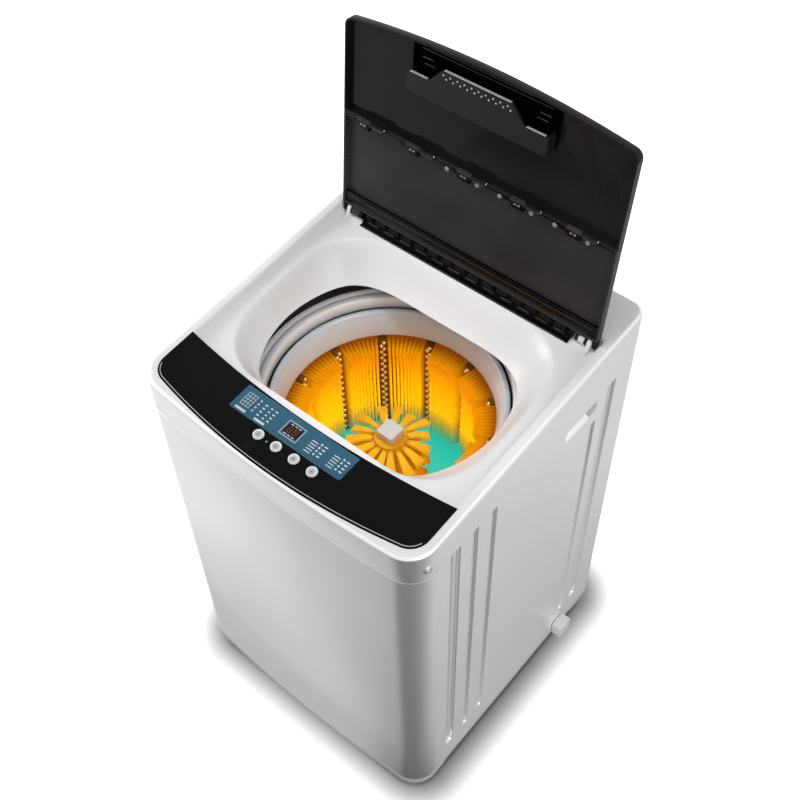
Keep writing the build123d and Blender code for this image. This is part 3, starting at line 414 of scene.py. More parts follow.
class Bench:
    """Modelling operations shared by the sub-assemblies, with sizes in millimetres."""

    OFFSET: ClassVar[Point] = (-13.0, -1.0, 0.0)
    WELD: ClassVar[float] = 0.00001
    BEVEL_STEPS: ClassVar[int] = 3
    LATHE_CREASE: ClassVar[float] = 50.0

    @classmethod
    def at(cls, x: float, y: float, z: float) -> Vector:
        """Place in metres of a cabinet point in millimetres from the middle of the cabinet."""
        return Vector((x + cls.OFFSET[0], y + cls.OFFSET[1], z + cls.OFFSET[2])) / PER_METRE

    @staticmethod
    def shift(x: float, y: float, z: float) -> Matrix:
        """Move by millimetres."""
        return Matrix.Translation(Vector((x, y, z)) / PER_METRE)

    @staticmethod
    def idle() -> None:
        """Leave edit mode with nothing selected."""
        if bpy.context.object and bpy.context.object.mode != "OBJECT":
            bpy.ops.object.mode_set(mode="OBJECT")
        bpy.ops.object.select_all(action="DESELECT")

    @classmethod
    def hold(cls, obj: Piece) -> None:
        """Make one object the only selected and active one.

        Args:
            obj: the object.
        """
        cls.idle()
        obj.select_set(True)
        bpy.context.view_layer.objects.active = obj

    @classmethod
    @contextmanager
    def editing(cls, obj: Piece) -> Iterator[None]:
        """Edit mode on a piece, with all of it selected.

        Args:
            obj: piece to edit.

        Yields:
            Nothing; the piece is in edit mode meanwhile.
        """
        cls.hold(obj)
        bpy.ops.object.mode_set(mode="EDIT")
        bpy.ops.mesh.select_all(action="SELECT")
        yield
        bpy.ops.object.mode_set(mode="OBJECT")

    @classmethod
    def apply(cls, obj: Piece, kind: str, **values: object) -> None:
        """Add a modifier and apply it.

        Args:
            obj: piece to change.
            kind: modifier type.
            values: its settings.
        """
        cls.hold(obj)
        mod = obj.modifiers.new(kind.lower(), kind)
        for key, value in values.items():
            setattr(mod, key, value)
        bpy.ops.object.modifier_apply(modifier=mod.name)

    @classmethod
    def soften(cls, obj: Piece, bevel: float) -> None:
        """Round the sharp edges of a piece.

        Args:
            obj: piece to change.
            bevel: edge radius, or 0 for none.
        """
        if bevel:
            cls.apply(obj, "BEVEL", width=bevel / PER_METRE, segments=cls.BEVEL_STEPS, limit_method="ANGLE")

    @classmethod
    def block(cls, name: str, size: Point, place: Matrix, bevel: float = 0.0) -> Piece:
        """Bevelled block.

        Args:
            name: piece name.
            size: its three sizes.
            place: its place.
            bevel: edge radius.

        Returns:
            The piece, its place in its mesh.
        """
        cls.idle()
        bpy.ops.mesh.primitive_cube_add(size=1.0)
        obj = bpy.context.object
        obj.name = name
        obj.scale = [v / PER_METRE for v in size]
        cls.hold(obj)
        bpy.ops.object.transform_apply(location=True, rotation=True, scale=True)
        if bevel:
            with cls.editing(obj):
                bpy.ops.mesh.bevel(offset=bevel / PER_METRE, segments=cls.BEVEL_STEPS, affect="EDGES")
        obj.data.transform(place)
        cls.smooth(obj)
        return obj

    @classmethod
    def disc(cls, name: str, radius: float, depth: float, place: Matrix, bevel: float = 0.0,
             sides: int = 40) -> Piece:
        """Round piece with softened rims.

        Args:
            name: piece name.
            radius: its radius.
            depth: its length along its own Z.
            place: its place.
            bevel: rim radius.
            sides: facets round it.

        Returns:
            The piece, its place in its mesh.
        """
        cls.idle()
        bpy.ops.mesh.primitive_cylinder_add(
            vertices=sides, radius=radius / PER_METRE, depth=depth / PER_METRE)
        obj = bpy.context.object
        obj.name = name
        cls.soften(obj, bevel)
        obj.data.transform(place)
        cls.smooth(obj)
        return obj

    @classmethod
    def smooth(cls, obj: Piece, angle: float = 35.0) -> None:
        """Smooth shading below an angle in degrees."""
        cls.hold(obj)
        bpy.ops.object.shade_smooth_by_angle(angle=math.radians(angle))

    @staticmethod
    def raw(name: str, points: Sequence[Vector], edges: Sequence[Face], faces: Sequence[Face]) -> Piece:
        """Object from points, edges and faces.

        Args:
            name: piece name.
            points: places in metres.
            edges: loose edges.
            faces: corners of each face.

        Returns:
            The object, in the scene.
        """
        mesh = bpy.data.meshes.new(name)
        mesh.from_pydata([tuple(p) for p in points], edges, faces)
        obj = bpy.data.objects.new(name, mesh)
        bpy.context.scene.collection.objects.link(obj)
        return obj

    @classmethod
    def skin(cls, name: str, points: Sequence[Vector], faces: Sequence[Face],
             angle: float | None = None) -> Piece:
        """Closed piece from points and faces, for forms that a primitive can't give.

        Args:
            name: piece name.
            points: places in metres.
            faces: corners of each face.
            angle: smooth shading below this angle, or None for flat faces.

        Returns:
            The piece, its faces outward.
        """
        obj = cls.raw(name, points, [], faces)
        obj.data.validate()
        cls.outward(obj)
        if angle:
            cls.smooth(obj, angle)
        return obj

    @staticmethod
    def bands(rows: int, count: int, start: int = 0) -> list[Face]:
        """Faces between rings of points, one ring after the other.

        Args:
            rows: bands between the rings.
            count: points on a ring.
            start: number of the first point.

        Returns:
            The corners of each face.
        """
        return [(start + k * count + i, start + k * count + (i + 1) % count,
                 start + (k + 1) * count + (i + 1) % count, start + (k + 1) * count + i)
                for k in range(rows) for i in range(count)]

    @classmethod
    def sweep(cls, sections: int, start: int = 0, closed: bool = False) -> list[Face]:
        """Faces along a run of four-cornered sections.

        Args:
            sections: how many there are.
            start: number of the first point.
            closed: whether the last section meets the first, or both ends are capped.

        Returns:
            The corners of each face.
        """
        last = start + 4 * (sections - 1)
        faces = cls.bands(sections - 1, 4, start)
        if closed:
            return faces + [(last + i, last + (i + 1) % 4, start + (i + 1) % 4, start + i) for i in range(4)]
        return faces + [(last, last + 1, last + 2, last + 3), (start + 3, start + 2, start + 1, start)]

    @classmethod
    def outward(cls, obj: Piece) -> None:
        """Turn every face of a piece outward."""
        with cls.editing(obj):
            bpy.ops.mesh.normals_make_consistent(inside=False)

    @classmethod
    def lathe(cls, name: str, profile: Sequence[Plan], centre: Plan, steps: int = 160) -> Piece:
        """Closed profile spun round an upright axis.

        Args:
            name: piece name.
            profile: radius and height of each corner.
            centre: plan place of the axis.
            steps: facets round it.

        Returns:
            The piece, its place in its mesh.
        """
        count = len(profile)
        corners = [cls.at(centre[0] + r, centre[1], z) for r, z in profile]
        obj = cls.raw(name, corners, [(k, (k + 1) % count) for k in range(count)], [])
        with cls.editing(obj):
            bpy.ops.mesh.spin(steps=steps, angle=FULL_TURN, center=cls.at(*centre, 0.0), axis=(0.0, 0.0, 1.0))
            bpy.ops.mesh.select_all(action="SELECT")
            bpy.ops.mesh.remove_doubles(threshold=cls.WELD)
        cls.outward(obj)
        cls.smooth(obj, cls.LATHE_CREASE)
        return obj

    @classmethod
    def extrude(cls, name: str, outline: Sequence[Vector], along: Point, bevel: float = 0.0) -> Piece:
        """Flat outline drawn along a direction, with softened edges.

        Args:
            name: piece name.
            outline: corners in metres.
            along: direction and length.
            bevel: edge radius.

        Returns:
            The piece, its place in its mesh.
        """
        obj = cls.raw(name, outline, [], [tuple(range(len(outline)))])
        with cls.editing(obj):
            bpy.ops.mesh.extrude_region_move(TRANSFORM_OT_translate={"value": Vector(along) / PER_METRE})
        cls.outward(obj)
        cls.soften(obj, bevel)
        cls.smooth(obj)
        return obj

    @classmethod
    def join(cls, name: str, parts: Sequence[Piece]) -> Piece:
        """Join pieces of one finish into one object.

        Args:
            name: name of the joined piece.
            parts: the pieces.

        Returns:
            The joined piece.
        """
        cls.hold(parts[0])
        for part in parts[1:]:
            part.select_set(True)
        if len(parts) > 1:
            bpy.ops.object.join()
        parts[0].name = name
        return parts[0]


@dataclass
class SubAssembly:
    """Pieces that are built and dressed together, with the plan place of the drum's axis."""

    AXIS: ClassVar[Plan] = (0.0, -15.0)
    palette: Palette

    def dress(self, obj: Piece, finish: str, body: Body, slot: str, *stands_for: str) -> None:
        """Give a piece its finish and the body that it rides on.

        Args:
            obj: the piece.
            finish: name of its finish.
            body: body that it rides on.
            slot: its material slot; not used.
            stands_for: solids that it replaces.
        """
        obj.data.materials.clear()
        obj.data.materials.append(self.palette[finish])
        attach(obj, body.value)
        if stands_for:
            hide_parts(*stands_for)
        log.info("piece %s: %d faces on %s", obj.name, len(obj.data.polygons), body.value)


@dataclass(frozen=True)
class Row:
    """Equal blocks, or discs where the size is a radius and a depth, in mm and a step apart along X."""

    at: Point
    size: Point | Plan
    count: int = 1
    step: float = 0.0
    bevel: float = 0.3
    sides: int = 40
    roll: bool = False

    def build(self, place: Callable[[float, float, float], Matrix]) -> list[Piece]:
        """Make the row.

        Args:
            place: turns a place in the row's own frame into one in the scene.

        Returns:
            The pieces.
        """
        pieces = []
        for k in range(self.count):
            spot = place(self.at[0] + k * self.step, *self.at[1:])
            if self.roll:
                spot = spot @ Matrix.Rotation(math.pi / 2, 4, "Y")
            if len(self.size) == 2:
                pieces.append(Bench.disc("part", *self.size, spot, self.bevel, self.sides))
            else:
                pieces.append(Bench.block("part", self.size, spot, self.bevel))
        return pieces


class LidFrame(Enum):
    """Frames that the lid's trim lies in: the front half, the rear half and the deck."""

    FRONT = "front"
    REAR = "rear"
    DECK = "deck"


@dataclass(frozen=True)
class Trim:
    """One piece of trim on the lid or beside it."""

    name: str
    finish: str
    body: Body
    frame: LidFrame
    rows: tuple[Row, ...]
    slot: str = "lid_trim"


@dataclass
class Net:
    """Points and faces of a mesh under way."""

    points: list[Vector] = field(default_factory=list)
    faces: list[Face] = field(default_factory=list)


@dataclass(frozen=True)
class CabinetForm:
    """Plan and slope of the cabinet, in millimetres from its middle."""

    half: float = 260.0
    deep: float = 265.0
    bow: float = 14.0
    front_corner: float = 45.0
    rear_corner: float = 24.0
    least_front: float = 8.0
    least_rear: float = 4.0
    top_front: float = 788.0
    rise: float = 40.0
    panel_half: float = 239.0
    panel_rear: float = -165.0
    panel_bow: float = 17.0

    def panel_edge(self, x: float) -> float:
        """Depth of the control panel's rear edge."""
        return self.panel_rear - self.panel_bow * (1 - (x / self.panel_half) ** 2)

    def deck(self, y: float) -> float:
        """Height of the sloping top at a depth."""
        return self.top_front + self.rise * (y + self.deep) / (2 * self.deep)

    def slope(self) -> float:
        """Tilt of the top in radians."""
        return math.atan2(self.rise, 2 * self.deep)

    def inside(self, x: float, y: float, inset: float) -> bool:
        """Whether a plan point lies in the outline drawn in by an inset.

        Args:
            x: place to the right.
            y: place to the rear.
            inset: how far the outline is drawn in.

        Returns:
            True within the outline.
        """
        half, rear, ax = self.half - inset, self.deep - inset, abs(x)
        if ax > half or y > rear:
            return False
        big = (self.half ** 2 + self.bow ** 2) / (2 * self.bow)
        middle = -self.deep - self.bow + big
        if math.hypot(x, y - middle) > big - inset:
            return False
        rc = max(self.front_corner - inset, self.least_front)
        cy = middle - math.sqrt((big - inset - rc) ** 2 - (half - rc) ** 2)
        if ax > half - rc and y < cy and math.hypot(ax - half + rc, y - cy) > rc:
            return False
        rr = max(self.rear_corner - inset, self.least_rear)
        return not (ax > half - rr and y > rear - rr and math.hypot(ax - half + rr, y - rear + rr) > rr)


@dataclass
class Ring:
    """Ring on the deck: a region's edge drawn in by an inset, a share of the way towards a second one."""

    edge: Region
    inset: float
    height: Height
    towards: Region | None = None
    share: float = 0.0


@dataclass
class DeckMoulding(SubAssembly):
    """White top cover: rails, sunk deck, dished basin and the lip round the mouth."""

    form: CabinetForm = CabinetForm()
    panel_clear: float = 0.6
    wall_lean: float = 0.15
    rail_wide: float = 14.0
    gutter_rear: float = 182.0
    basin: tuple[float, float, float, float] = (224.0, -163.0, 152.0, 96.0)
    mouth_radius: float = 193.0
    mouth_front: float = -160.0
    mouth_rear: float = 112.0
    mouth_soft: float = 46.0
    mouth_z: float = 747.0
    mouth_lift: float = 2.0
    apron_y: float = -222.0
    apron_z: float = 728.0
    lip: float = 8.0
    skirt_gap: float = 0.6
    skirt_rings: tuple[Plan, ...] = ((3.0, 0.0), (0.6, 0.0), (0.15, 0.25), (0.0, 0.8))
    edge: float = 6.0
    edge_in: float = 9.0
    edge_turns: tuple[float, ...] = (0.0, 15.0, 30.0, 45.0, 60.0, 75.0, 90.0)
    rail_round: float = 5.0
    rail_turns: tuple[float, ...] = (0.0, 30.0, 60.0, 90.0)
    wall_steps: tuple[Plan, ...] = ((6.0, 11.0), (7.2, 14.0), (10.0, 15.8))
    sink: float = 16.6
    dish_shares: tuple[float, ...] = (0.05, 0.11, 0.18, 0.27, 0.38, 0.5, 0.62, 0.74, 0.85, 0.94, 1.0)
    dish_fall: Point = (0.175, 0.65, 1.35)
    lip_rings: tuple[Plan, ...] = ((1.2, 0.4), (0.8, -0.6), (-2.0, -0.2))
    reach: float = 460.0
    halvings: int = 34
    least_step: float = 0.02
    crease: float = 40.0
    seam: float = 0.0004
    painted_rings: int = 9
    steps: int = 288
    hinge_y: float = 167.0
    ear_places: tuple[tuple[str, float], ...] = (("left", -229.3), ("right", 222.7))
    ear_thick: float = 6.6
    ear_soft: float = 1.2
    ear_view: tuple[Plan, ...] = (
        (149.0, -16.0), (158.0, -14.6), (161.5, -3.0), (165.0, 0.4), (171.0, 0.4), (174.5, -3.0),
        (175.0, -16.0))

    def in_rails(self, x: float, y: float, inset: float) -> bool:
        """Whether a plan point lies in the sunk area within the rails, drawn in by an inset."""
        front = self.form.panel_edge(x) + self.panel_clear + self.wall_lean * inset
        return self.form.inside(x, y, self.rail_wide + inset) and front < y < self.gutter_rear - inset

    def in_basin(self, x: float, y: float, inset: float) -> bool:
        """Whether a plan point lies in the dish with its round corners, drawn in by an inset."""
        half, front, rear, corner = self.basin
        return math.hypot(max(abs(x) - half + corner, 0.0),
                          max(front + corner - y, y - rear + corner, 0.0)) <= corner - inset

    def blend(self, a: float, b: float) -> float:
        """Larger of two distances, with a soft change from one to the other."""
        return max(a, b) + max(self.mouth_soft - abs(a - b), 0.0) ** 2 / (4 * self.mouth_soft)

    def in_mouth(self, x: float, y: float, inset: float) -> bool:
        """Whether a plan point lies in the mouth with its soft corners, drawn in by an inset."""
        ring = math.hypot(x, y - self.AXIS[1]) - self.mouth_radius
        return self.blend(self.blend(ring, y - self.mouth_rear), self.mouth_front - y) < -inset

    def cast(self, edge: Region, inset: float, angle: float) -> float:
        """Distance from the middle of the mouth to the edge of a region.

        Args:
            edge: the region.
            inset: how far it is drawn in.
            angle: direction in radians.

        Returns:
            The distance.
        """
        low, high = 0.0, self.reach
        for _ in range(self.halvings):
            mid = (low + high) / 2
            if edge(self.AXIS[0] + mid * math.cos(angle), self.AXIS[1] + mid * math.sin(angle), inset):
                low = mid
            else:
                high = mid
        return low

    def skirt(self, y: float) -> float:
        """Height of the moulding's lower edge at a depth."""
        return (self.apron_z + self.skirt_gap if y < self.apron_y
                else self.form.deck(y) - self.lip + self.skirt_gap)

    def down(self, drop: float) -> Height:
        """Height that lies a drop below the top."""
        return lambda y: self.form.deck(y) - drop

    def dish(self, share: float) -> Height:
        """Height in the dish at a share of the way to the mouth.

        Args:
            share: share of the way.

        Returns:
            The height at a depth.
        """
        ease, run, power = self.dish_fall
        fall = ease * (1 - math.cos(math.pi * share)) + run * share ** power
        return lambda y: ((self.form.deck(y) - self.sink) * (1 - fall)
                          + (self.mouth_z + self.mouth_lift) * fall)

    def rings(self) -> list[Ring]:
        """Rings of the surface, from the skirt over the rails and down the dish to the mouth.

        Returns:
            The rings in order.
        """
        rings = [Ring(self.form.inside, inset, lambda y, up=up: self.skirt(y) + up)
                 for inset, up in self.skirt_rings]
        for a in map(math.radians, self.edge_turns):
            drop = self.edge * (1 - math.sin(a))
            rings.append(Ring(self.form.inside, self.edge_in * (1 - math.cos(a)), self.down(drop)))
        for a in map(math.radians, self.rail_turns):
            drop = self.rail_round * (1 - math.cos(a))
            rings.append(Ring(self.in_rails, self.rail_round * math.sin(a), self.down(drop)))
        rings += [Ring(self.in_rails, inset, self.down(drop)) for inset, drop in self.wall_steps]
        rings.append(Ring(self.in_basin, 0.0, self.down(self.sink)))
        rings += [Ring(self.in_basin, 0.0, self.dish(share), self.in_mouth, share)
                  for share in self.dish_shares]
        rings += [Ring(self.in_mouth, inset, lambda y, up=up: self.mouth_z + up)
                  for inset, up in self.lip_rings]
        return rings

    def angles(self) -> list[float]:
        """Directions of the rings' points, with a close pair at each end of the apron.

        Returns:
            The angles in order.
        """
        angles = [FULL_TURN * k / self.steps for k in range(self.steps)]
        corner = math.atan2(self.apron_y - self.AXIS[1], self.form.half)
        for base in (corner, math.pi - corner):
            angles += [base - self.seam, base + self.seam]
        return sorted(a % FULL_TURN for a in angles)

    def build(self) -> None:
        """Loft the rings into one moulding and add the hinge ears."""
        angles, rings = self.angles(), self.rings()
        count = len(angles)
        points: list[Vector] = []
        before = [math.inf] * count
        for k, ring in enumerate(rings):
            free = k < len(self.skirt_rings) or k >= len(rings) - len(self.lip_rings)
            for i, a in enumerate(angles):
                r = self.cast(ring.edge, ring.inset, a)
                if ring.towards:
                    r += (self.cast(ring.towards, 0.0, a) - r) * ring.share
                before[i] = r if free else min(r, before[i] - self.least_step)
                x, y = (c + before[i] * f for c, f in zip(self.AXIS, (math.cos(a), math.sin(a))))
                points.append(Bench.at(x, y, ring.height(y)))
        deck = Bench.skin("deck_moulding", points, Bench.bands(len(rings) - 1, count), self.crease)
        self.dress(deck, "cover_white", Body.CABINET, "cover_plastic", "top_cover")
        deck.data.materials.append(self.palette["cabinet_paint"])
        for face in deck.data.polygons:
            face.material_index = int(max(face.vertices) < self.painted_rings * count)
        self.ears()

    def ears(self) -> None:
        """Slanted ears that carry the lid's pins."""
        top = self.form.deck(self.hinge_y)
        for name, x in self.ear_places:
            outline = [Bench.at(x, y, top + z) for y, z in self.ear_view]
            ear = Bench.extrude(f"hinge_ear_{name}", outline, (self.ear_thick, 0.0, 0.0), self.ear_soft)
            self.dress(ear, "cover_white", Body.CABINET, "cover_plastic")


@dataclass
class DrumRings(SubAssembly):
    """Balance ring on the drum, the cover ring of the tub round it, and a black ring at the tub's edge as
    painted shade.
    """

    ring: tuple[Plan, ...] = (
        (184.0, 646.4), (184.0, 686.0), (183.2, 689.4), (181.0, 691.4), (178.0, 692.0), (175.2, 691.2),
        (173.4, 688.8), (172.6, 685.4), (171.4, 682.6), (169.6, 679.6), (167.2, 668.0), (165.4, 656.0),
        (164.4, 649.0), (164.8, 646.8), (166.0, 646.2))
    cover: tuple[Plan, ...] = (
        (215.0, 706.1), (215.0, 709.2), (214.0, 710.0), (206.0, 710.0), (203.4, 709.2), (202.0, 707.8),
        (200.4, 707.8), (199.0, 709.2), (196.6, 710.0), (191.0, 710.0), (188.4, 709.2), (187.2, 707.0),
        (187.0, 703.0), (187.0, 689.0), (187.8, 688.2), (190.2, 688.2), (191.0, 689.0), (191.0, 705.9))
    painted_shade_ring: tuple[Plan, ...] = ((209.5, 706.2), (209.5, 711.2), (224.0, 711.2), (224.0, 706.2))

    def build(self) -> None:
        """Turn the black ring of painted shade and both rings."""
        # Black ring that paints the shade in the gap between the tub's edge and the deck's lip.
        self.dress(Bench.lathe("tub_painted_shade_ring", self.painted_shade_ring, self.AXIS), "belt_rubber", Body.CABINET, "tub_plastic")
        rim = Bench.lathe("balance_rim", self.ring, self.AXIS)
        self.dress(rim, "ring_grey", Body.DRUM, "ring_plastic", "balance_ring")
        cover = Bench.lathe("tub_rim", self.cover, self.AXIS)
        self.dress(cover, "tub_white", Body.CABINET, "tub_plastic", "tub_cover")


@dataclass
class BrushDrum(SubAssembly):
    """Bristle panels round the drum, pressed studs between them and the brush on the post.

    Sizes are in millimetres and the first angle in degrees. Small turns, spreads and flares are in radians.
    """

    panels: int = 13
    first_angle: float = 9.4
    drum_radius: float = 175.5
    back: float = 4.0
    back_steps: int = 8
    tip_radius: float = 139.0
    root_gap: float = 0.6
    lean_in: float = 10.0
    lean_from: float = 596.0
    low_z: float = 433.0
    high_z: float = 639.5
    sag: float = 2.0
    top_gap: float = 2.2
    gap: float = 14.0
    gather: float = 0.07
    columns: int = 9
    rows: int = 52
    row_jitter: float = 0.15
    turn_jitter: float = 0.0008
    tip_jitter: float = 1.4
    sway: float = 0.003
    wide: Point = (2.6, 2.2, 1.3)
    tall: Point = (2.2, 2.2, 1.9)
    along: Point = (0.0, 0.5, 1.0)
    rib_wide: float = 12.5
    rib_radius: float = 157.0
    rib_root: float = 1.2
    rib_crest: float = 0.6
    rib_shoulder: float = 3.0
    stud: float = 3.5
    stud_facets: tuple[int, int] = (8, 5)
    stud_crease: float = 60.0
    stud_sink: float = 1.0
    stud_off: float = 0.014
    studs: int = 28
    sleeve: tuple[Plan, ...] = ((25.4, 474.0), (25.4, 593.0), (12.0, 593.0), (22.2, 474.0))
    sleeve_sides: int = 32
    fans: int = 15
    fan_jitter: float = 0.14
    fan_levels: tuple[float, ...] = (587.0, 556.0, 526.0, 498.0)
    fan_root: float = 24.6
    fan_reach: Plan = (62.0, 75.0)
    fan_shorter: float = 4.0
    fan_droop: Plan = (7.0, 13.0)
    fan_lower: float = 2.0
    fan_spread: Plan = (0.13, 0.22)
    fan_flare: float = 0.05
    fan_layers: int = 2
    fan_strands: int = 13
    layer_drop: float = 3.4
    fan_tip_jitter: float = 1.5
    fan_wide: Point = (0.7, 0.7, 0.6)
    fan_tall: Point = (1.3, 1.4, 1.1)
    seed: int = 7
    post_seed: int = 107

    @staticmethod
    def strand(net: Net, path: Sequence[Vector], angle: float, wide: Sequence[float],
               tall: Sequence[float]) -> None:
        """Add a four-sided tapering strand along a path.

        Args:
            net: mesh to add to.
            path: places along the strand, root to tip.
            angle: where it stands round the drum.
            wide: half width at each place.
            tall: half height at each place.
        """
        across = Vector((-math.sin(angle), math.cos(angle), 0.0))
        start, last = len(net.points), len(path) - 1
        for k, p in enumerate(path):
            along = (path[min(k + 1, last)] - path[max(k - 1, 0)]).normalized()
            up = along.cross(across).normalized()
            for s, t in ((1, 0), (0, 1), (-1, 0), (0, -1)):
                net.points.append(p + (across * (s * wide[k]) + up * (t * tall[k])) / PER_METRE)
        net.faces += Bench.sweep(len(path), start)

    def spot(self, r: float, a: float, z: float) -> Vector:
        """Place at a radius and an angle round the drum's axis."""
        return Bench.at(self.AXIS[0] + r * math.cos(a), self.AXIS[1] + r * math.sin(a), z)

    def gap_angle(self, index: float) -> float:
        """Angle of a panel's middle, or of a gap's middle at a half number, in radians."""
        return math.radians(self.first_angle) + index * FULL_TURN / self.panels

    def backing(self, net: Net, mid: float, half: float) -> None:
        """Add the curved strip that carries the bristles of a panel.

        Args:
            net: mesh to add to.
            mid: angle of the middle of the panel.
            half: half its angle.
        """
        outer, inner = self.drum_radius, self.drum_radius - self.back
        section = ((outer, self.low_z), (outer, self.high_z), (inner, self.high_z), (inner, self.low_z))
        for k in range(self.back_steps + 1):
            net.points += [self.spot(r, mid - half + 2 * half * k / self.back_steps, z) for r, z in section]
        net.faces += Bench.sweep(self.back_steps + 1)

    def panel(self, index: int) -> None:
        """One backing strip with its combs of bristles, leaning in towards the ring at the top.

        Args:
            index: number of the panel.
        """
        rng = random.Random(self.seed + index)
        mid = self.gap_angle(index)
        half = math.pi / self.panels - self.gap / 2 / self.drum_radius
        root = self.drum_radius - self.back + self.root_gap
        tall = self.high_z - self.low_z
        net = Net()
        self.backing(net, mid, half)
        for col in range(self.columns):
            a0 = mid + half * (2 * (col + 0.5) / self.columns - 1)
            for row in range(self.rows):
                z = self.low_z + tall * (
                    row + 0.5 + rng.uniform(-self.row_jitter, self.row_jitter)) / self.rows
                a = a0 + rng.uniform(-self.turn_jitter, self.turn_jitter)
                lean = self.lean_in * max(0.0, z - self.lean_from) / (self.high_z - self.lean_from)
                tip = self.tip_radius - lean + rng.uniform(-self.tip_jitter, self.tip_jitter)
                sway = rng.uniform(-self.sway, self.sway)
                path = []
                for f in self.along:
                    turned = a + sway * f * f - (a0 - mid) * self.gather * f
                    height = min(z - self.sag * f * f, self.high_z - self.top_gap)
                    path.append(self.spot(root + (tip - root) * f, turned, height))
                self.strand(net, path, a, self.wide, self.tall)
        brush = Bench.skin(f"bristle_panel_{index + 1:02d}", net.points, net.faces)
        self.dress(brush, "bristle_orange", Body.DRUM, "bristle", f"brush_panel_{index + 1:02d}")

    def ribs(self) -> None:
        """Raised strips between the panels, with small domes pressed into them."""
        Bench.idle()
        round_it, over_it = self.stud_facets
        bpy.ops.mesh.primitive_uv_sphere_add(
            segments=round_it, ring_count=over_it, radius=self.stud / PER_METRE)
        dome = bpy.context.object
        strips, studs = [], []
        tall = self.high_z - self.low_z
        for gap in range(self.panels):
            a = self.gap_angle(gap + 0.5)
            out = Vector((math.cos(a), math.sin(a), 0.0)) * self.rib_shoulder / PER_METRE
            side = Vector((-math.sin(a), math.cos(a), 0.0)) * self.rib_wide / (2 * PER_METRE)
            inner, outer = (
                self.spot(self.rib_radius, a, self.low_z), self.spot(self.drum_radius, a, self.low_z))
            outline = [outer - side * self.rib_root, inner - side + out, inner - side * self.rib_crest,
                       inner + side * self.rib_crest, inner + side + out, outer + side * self.rib_root]
            strips.append(Bench.extrude("strip", outline, (0.0, 0.0, tall)))
            for k in range(self.studs):
                off = -self.stud_off if k % 2 else self.stud_off
                at = self.spot(self.rib_radius + self.stud_sink, a + off,
                               self.low_z + tall * (k + 0.5) / self.studs)
                copy = bpy.data.objects.new("stud", dome.data.copy())
                copy.data.transform(Matrix.Translation(at))
                bpy.context.scene.collection.objects.link(copy)
                studs.append(copy)
        bpy.data.objects.remove(dome)
        self.dress(Bench.join("drum_ribs", strips), "rib_bronze", Body.DRUM, "drum_steel")
        domes = Bench.join("drum_studs", studs)
        Bench.smooth(domes, self.stud_crease)
        self.dress(domes, "dimple_gold", Body.DRUM, "drum_steel")

    def carrier(self, net: Net) -> None:
        """Add the sleeve on the post that carries the fans.

        Args:
            net: mesh to add to.
        """
        for k in range(self.sleeve_sides):
            net.points += [self.spot(r, FULL_TURN * k / self.sleeve_sides, z) for r, z in self.sleeve]
        net.faces += Bench.sweep(self.sleeve_sides, closed=True)

    def fan(self, net: Net, rng: random.Random, level: int, a0: float) -> None:
        """Add one wedge-shaped fan of drooping bristles.

        Args:
            net: mesh to add to.
            rng: source of the small differences.
            level: number of the fan's level from the top.
            a0: angle of its middle.
        """
        reach = rng.uniform(*self.fan_reach) - self.fan_shorter * level
        droop = rng.uniform(*self.fan_droop) + self.fan_lower * level
        spread = rng.uniform(*self.fan_spread)
        for layer in range(self.fan_layers):
            for k in range(self.fan_strands):
                s = k / (self.fan_strands - 1) - 0.5
                a = a0 + s * spread
                path = []
                for f in self.along:
                    tip = rng.uniform(-self.fan_tip_jitter, self.fan_tip_jitter) * f
                    r = self.fan_root + (reach - self.fan_root + tip) * f
                    z = self.fan_levels[level] - layer * self.layer_drop - droop * f * f
                    path.append(self.spot(r, a + s * self.fan_flare * f, z))
                self.strand(net, path, a, self.fan_wide, self.fan_tall)

    def post(self) -> None:
        """Sleeve and fans round the post."""
        rng = random.Random(self.post_seed)
        net = Net()
        self.carrier(net)
        turns = [FULL_TURN * (k + rng.uniform(-self.fan_jitter, self.fan_jitter)) / self.fans
                 for k in range(self.fans)]
        for level in range(len(self.fan_levels)):
            for a0 in turns:
                self.fan(net, rng, level, a0)
        brush = Bench.skin("post_bristles", net.points, net.faces)
        self.dress(brush, "bristle_yellow", Body.PULSATOR, "bristle", "post_brush")

    def build(self) -> None:
        """All the panels, the ribs between them and the post brush."""
        for index in range(self.panels):
            self.panel(index)
        self.ribs()
        self.post()


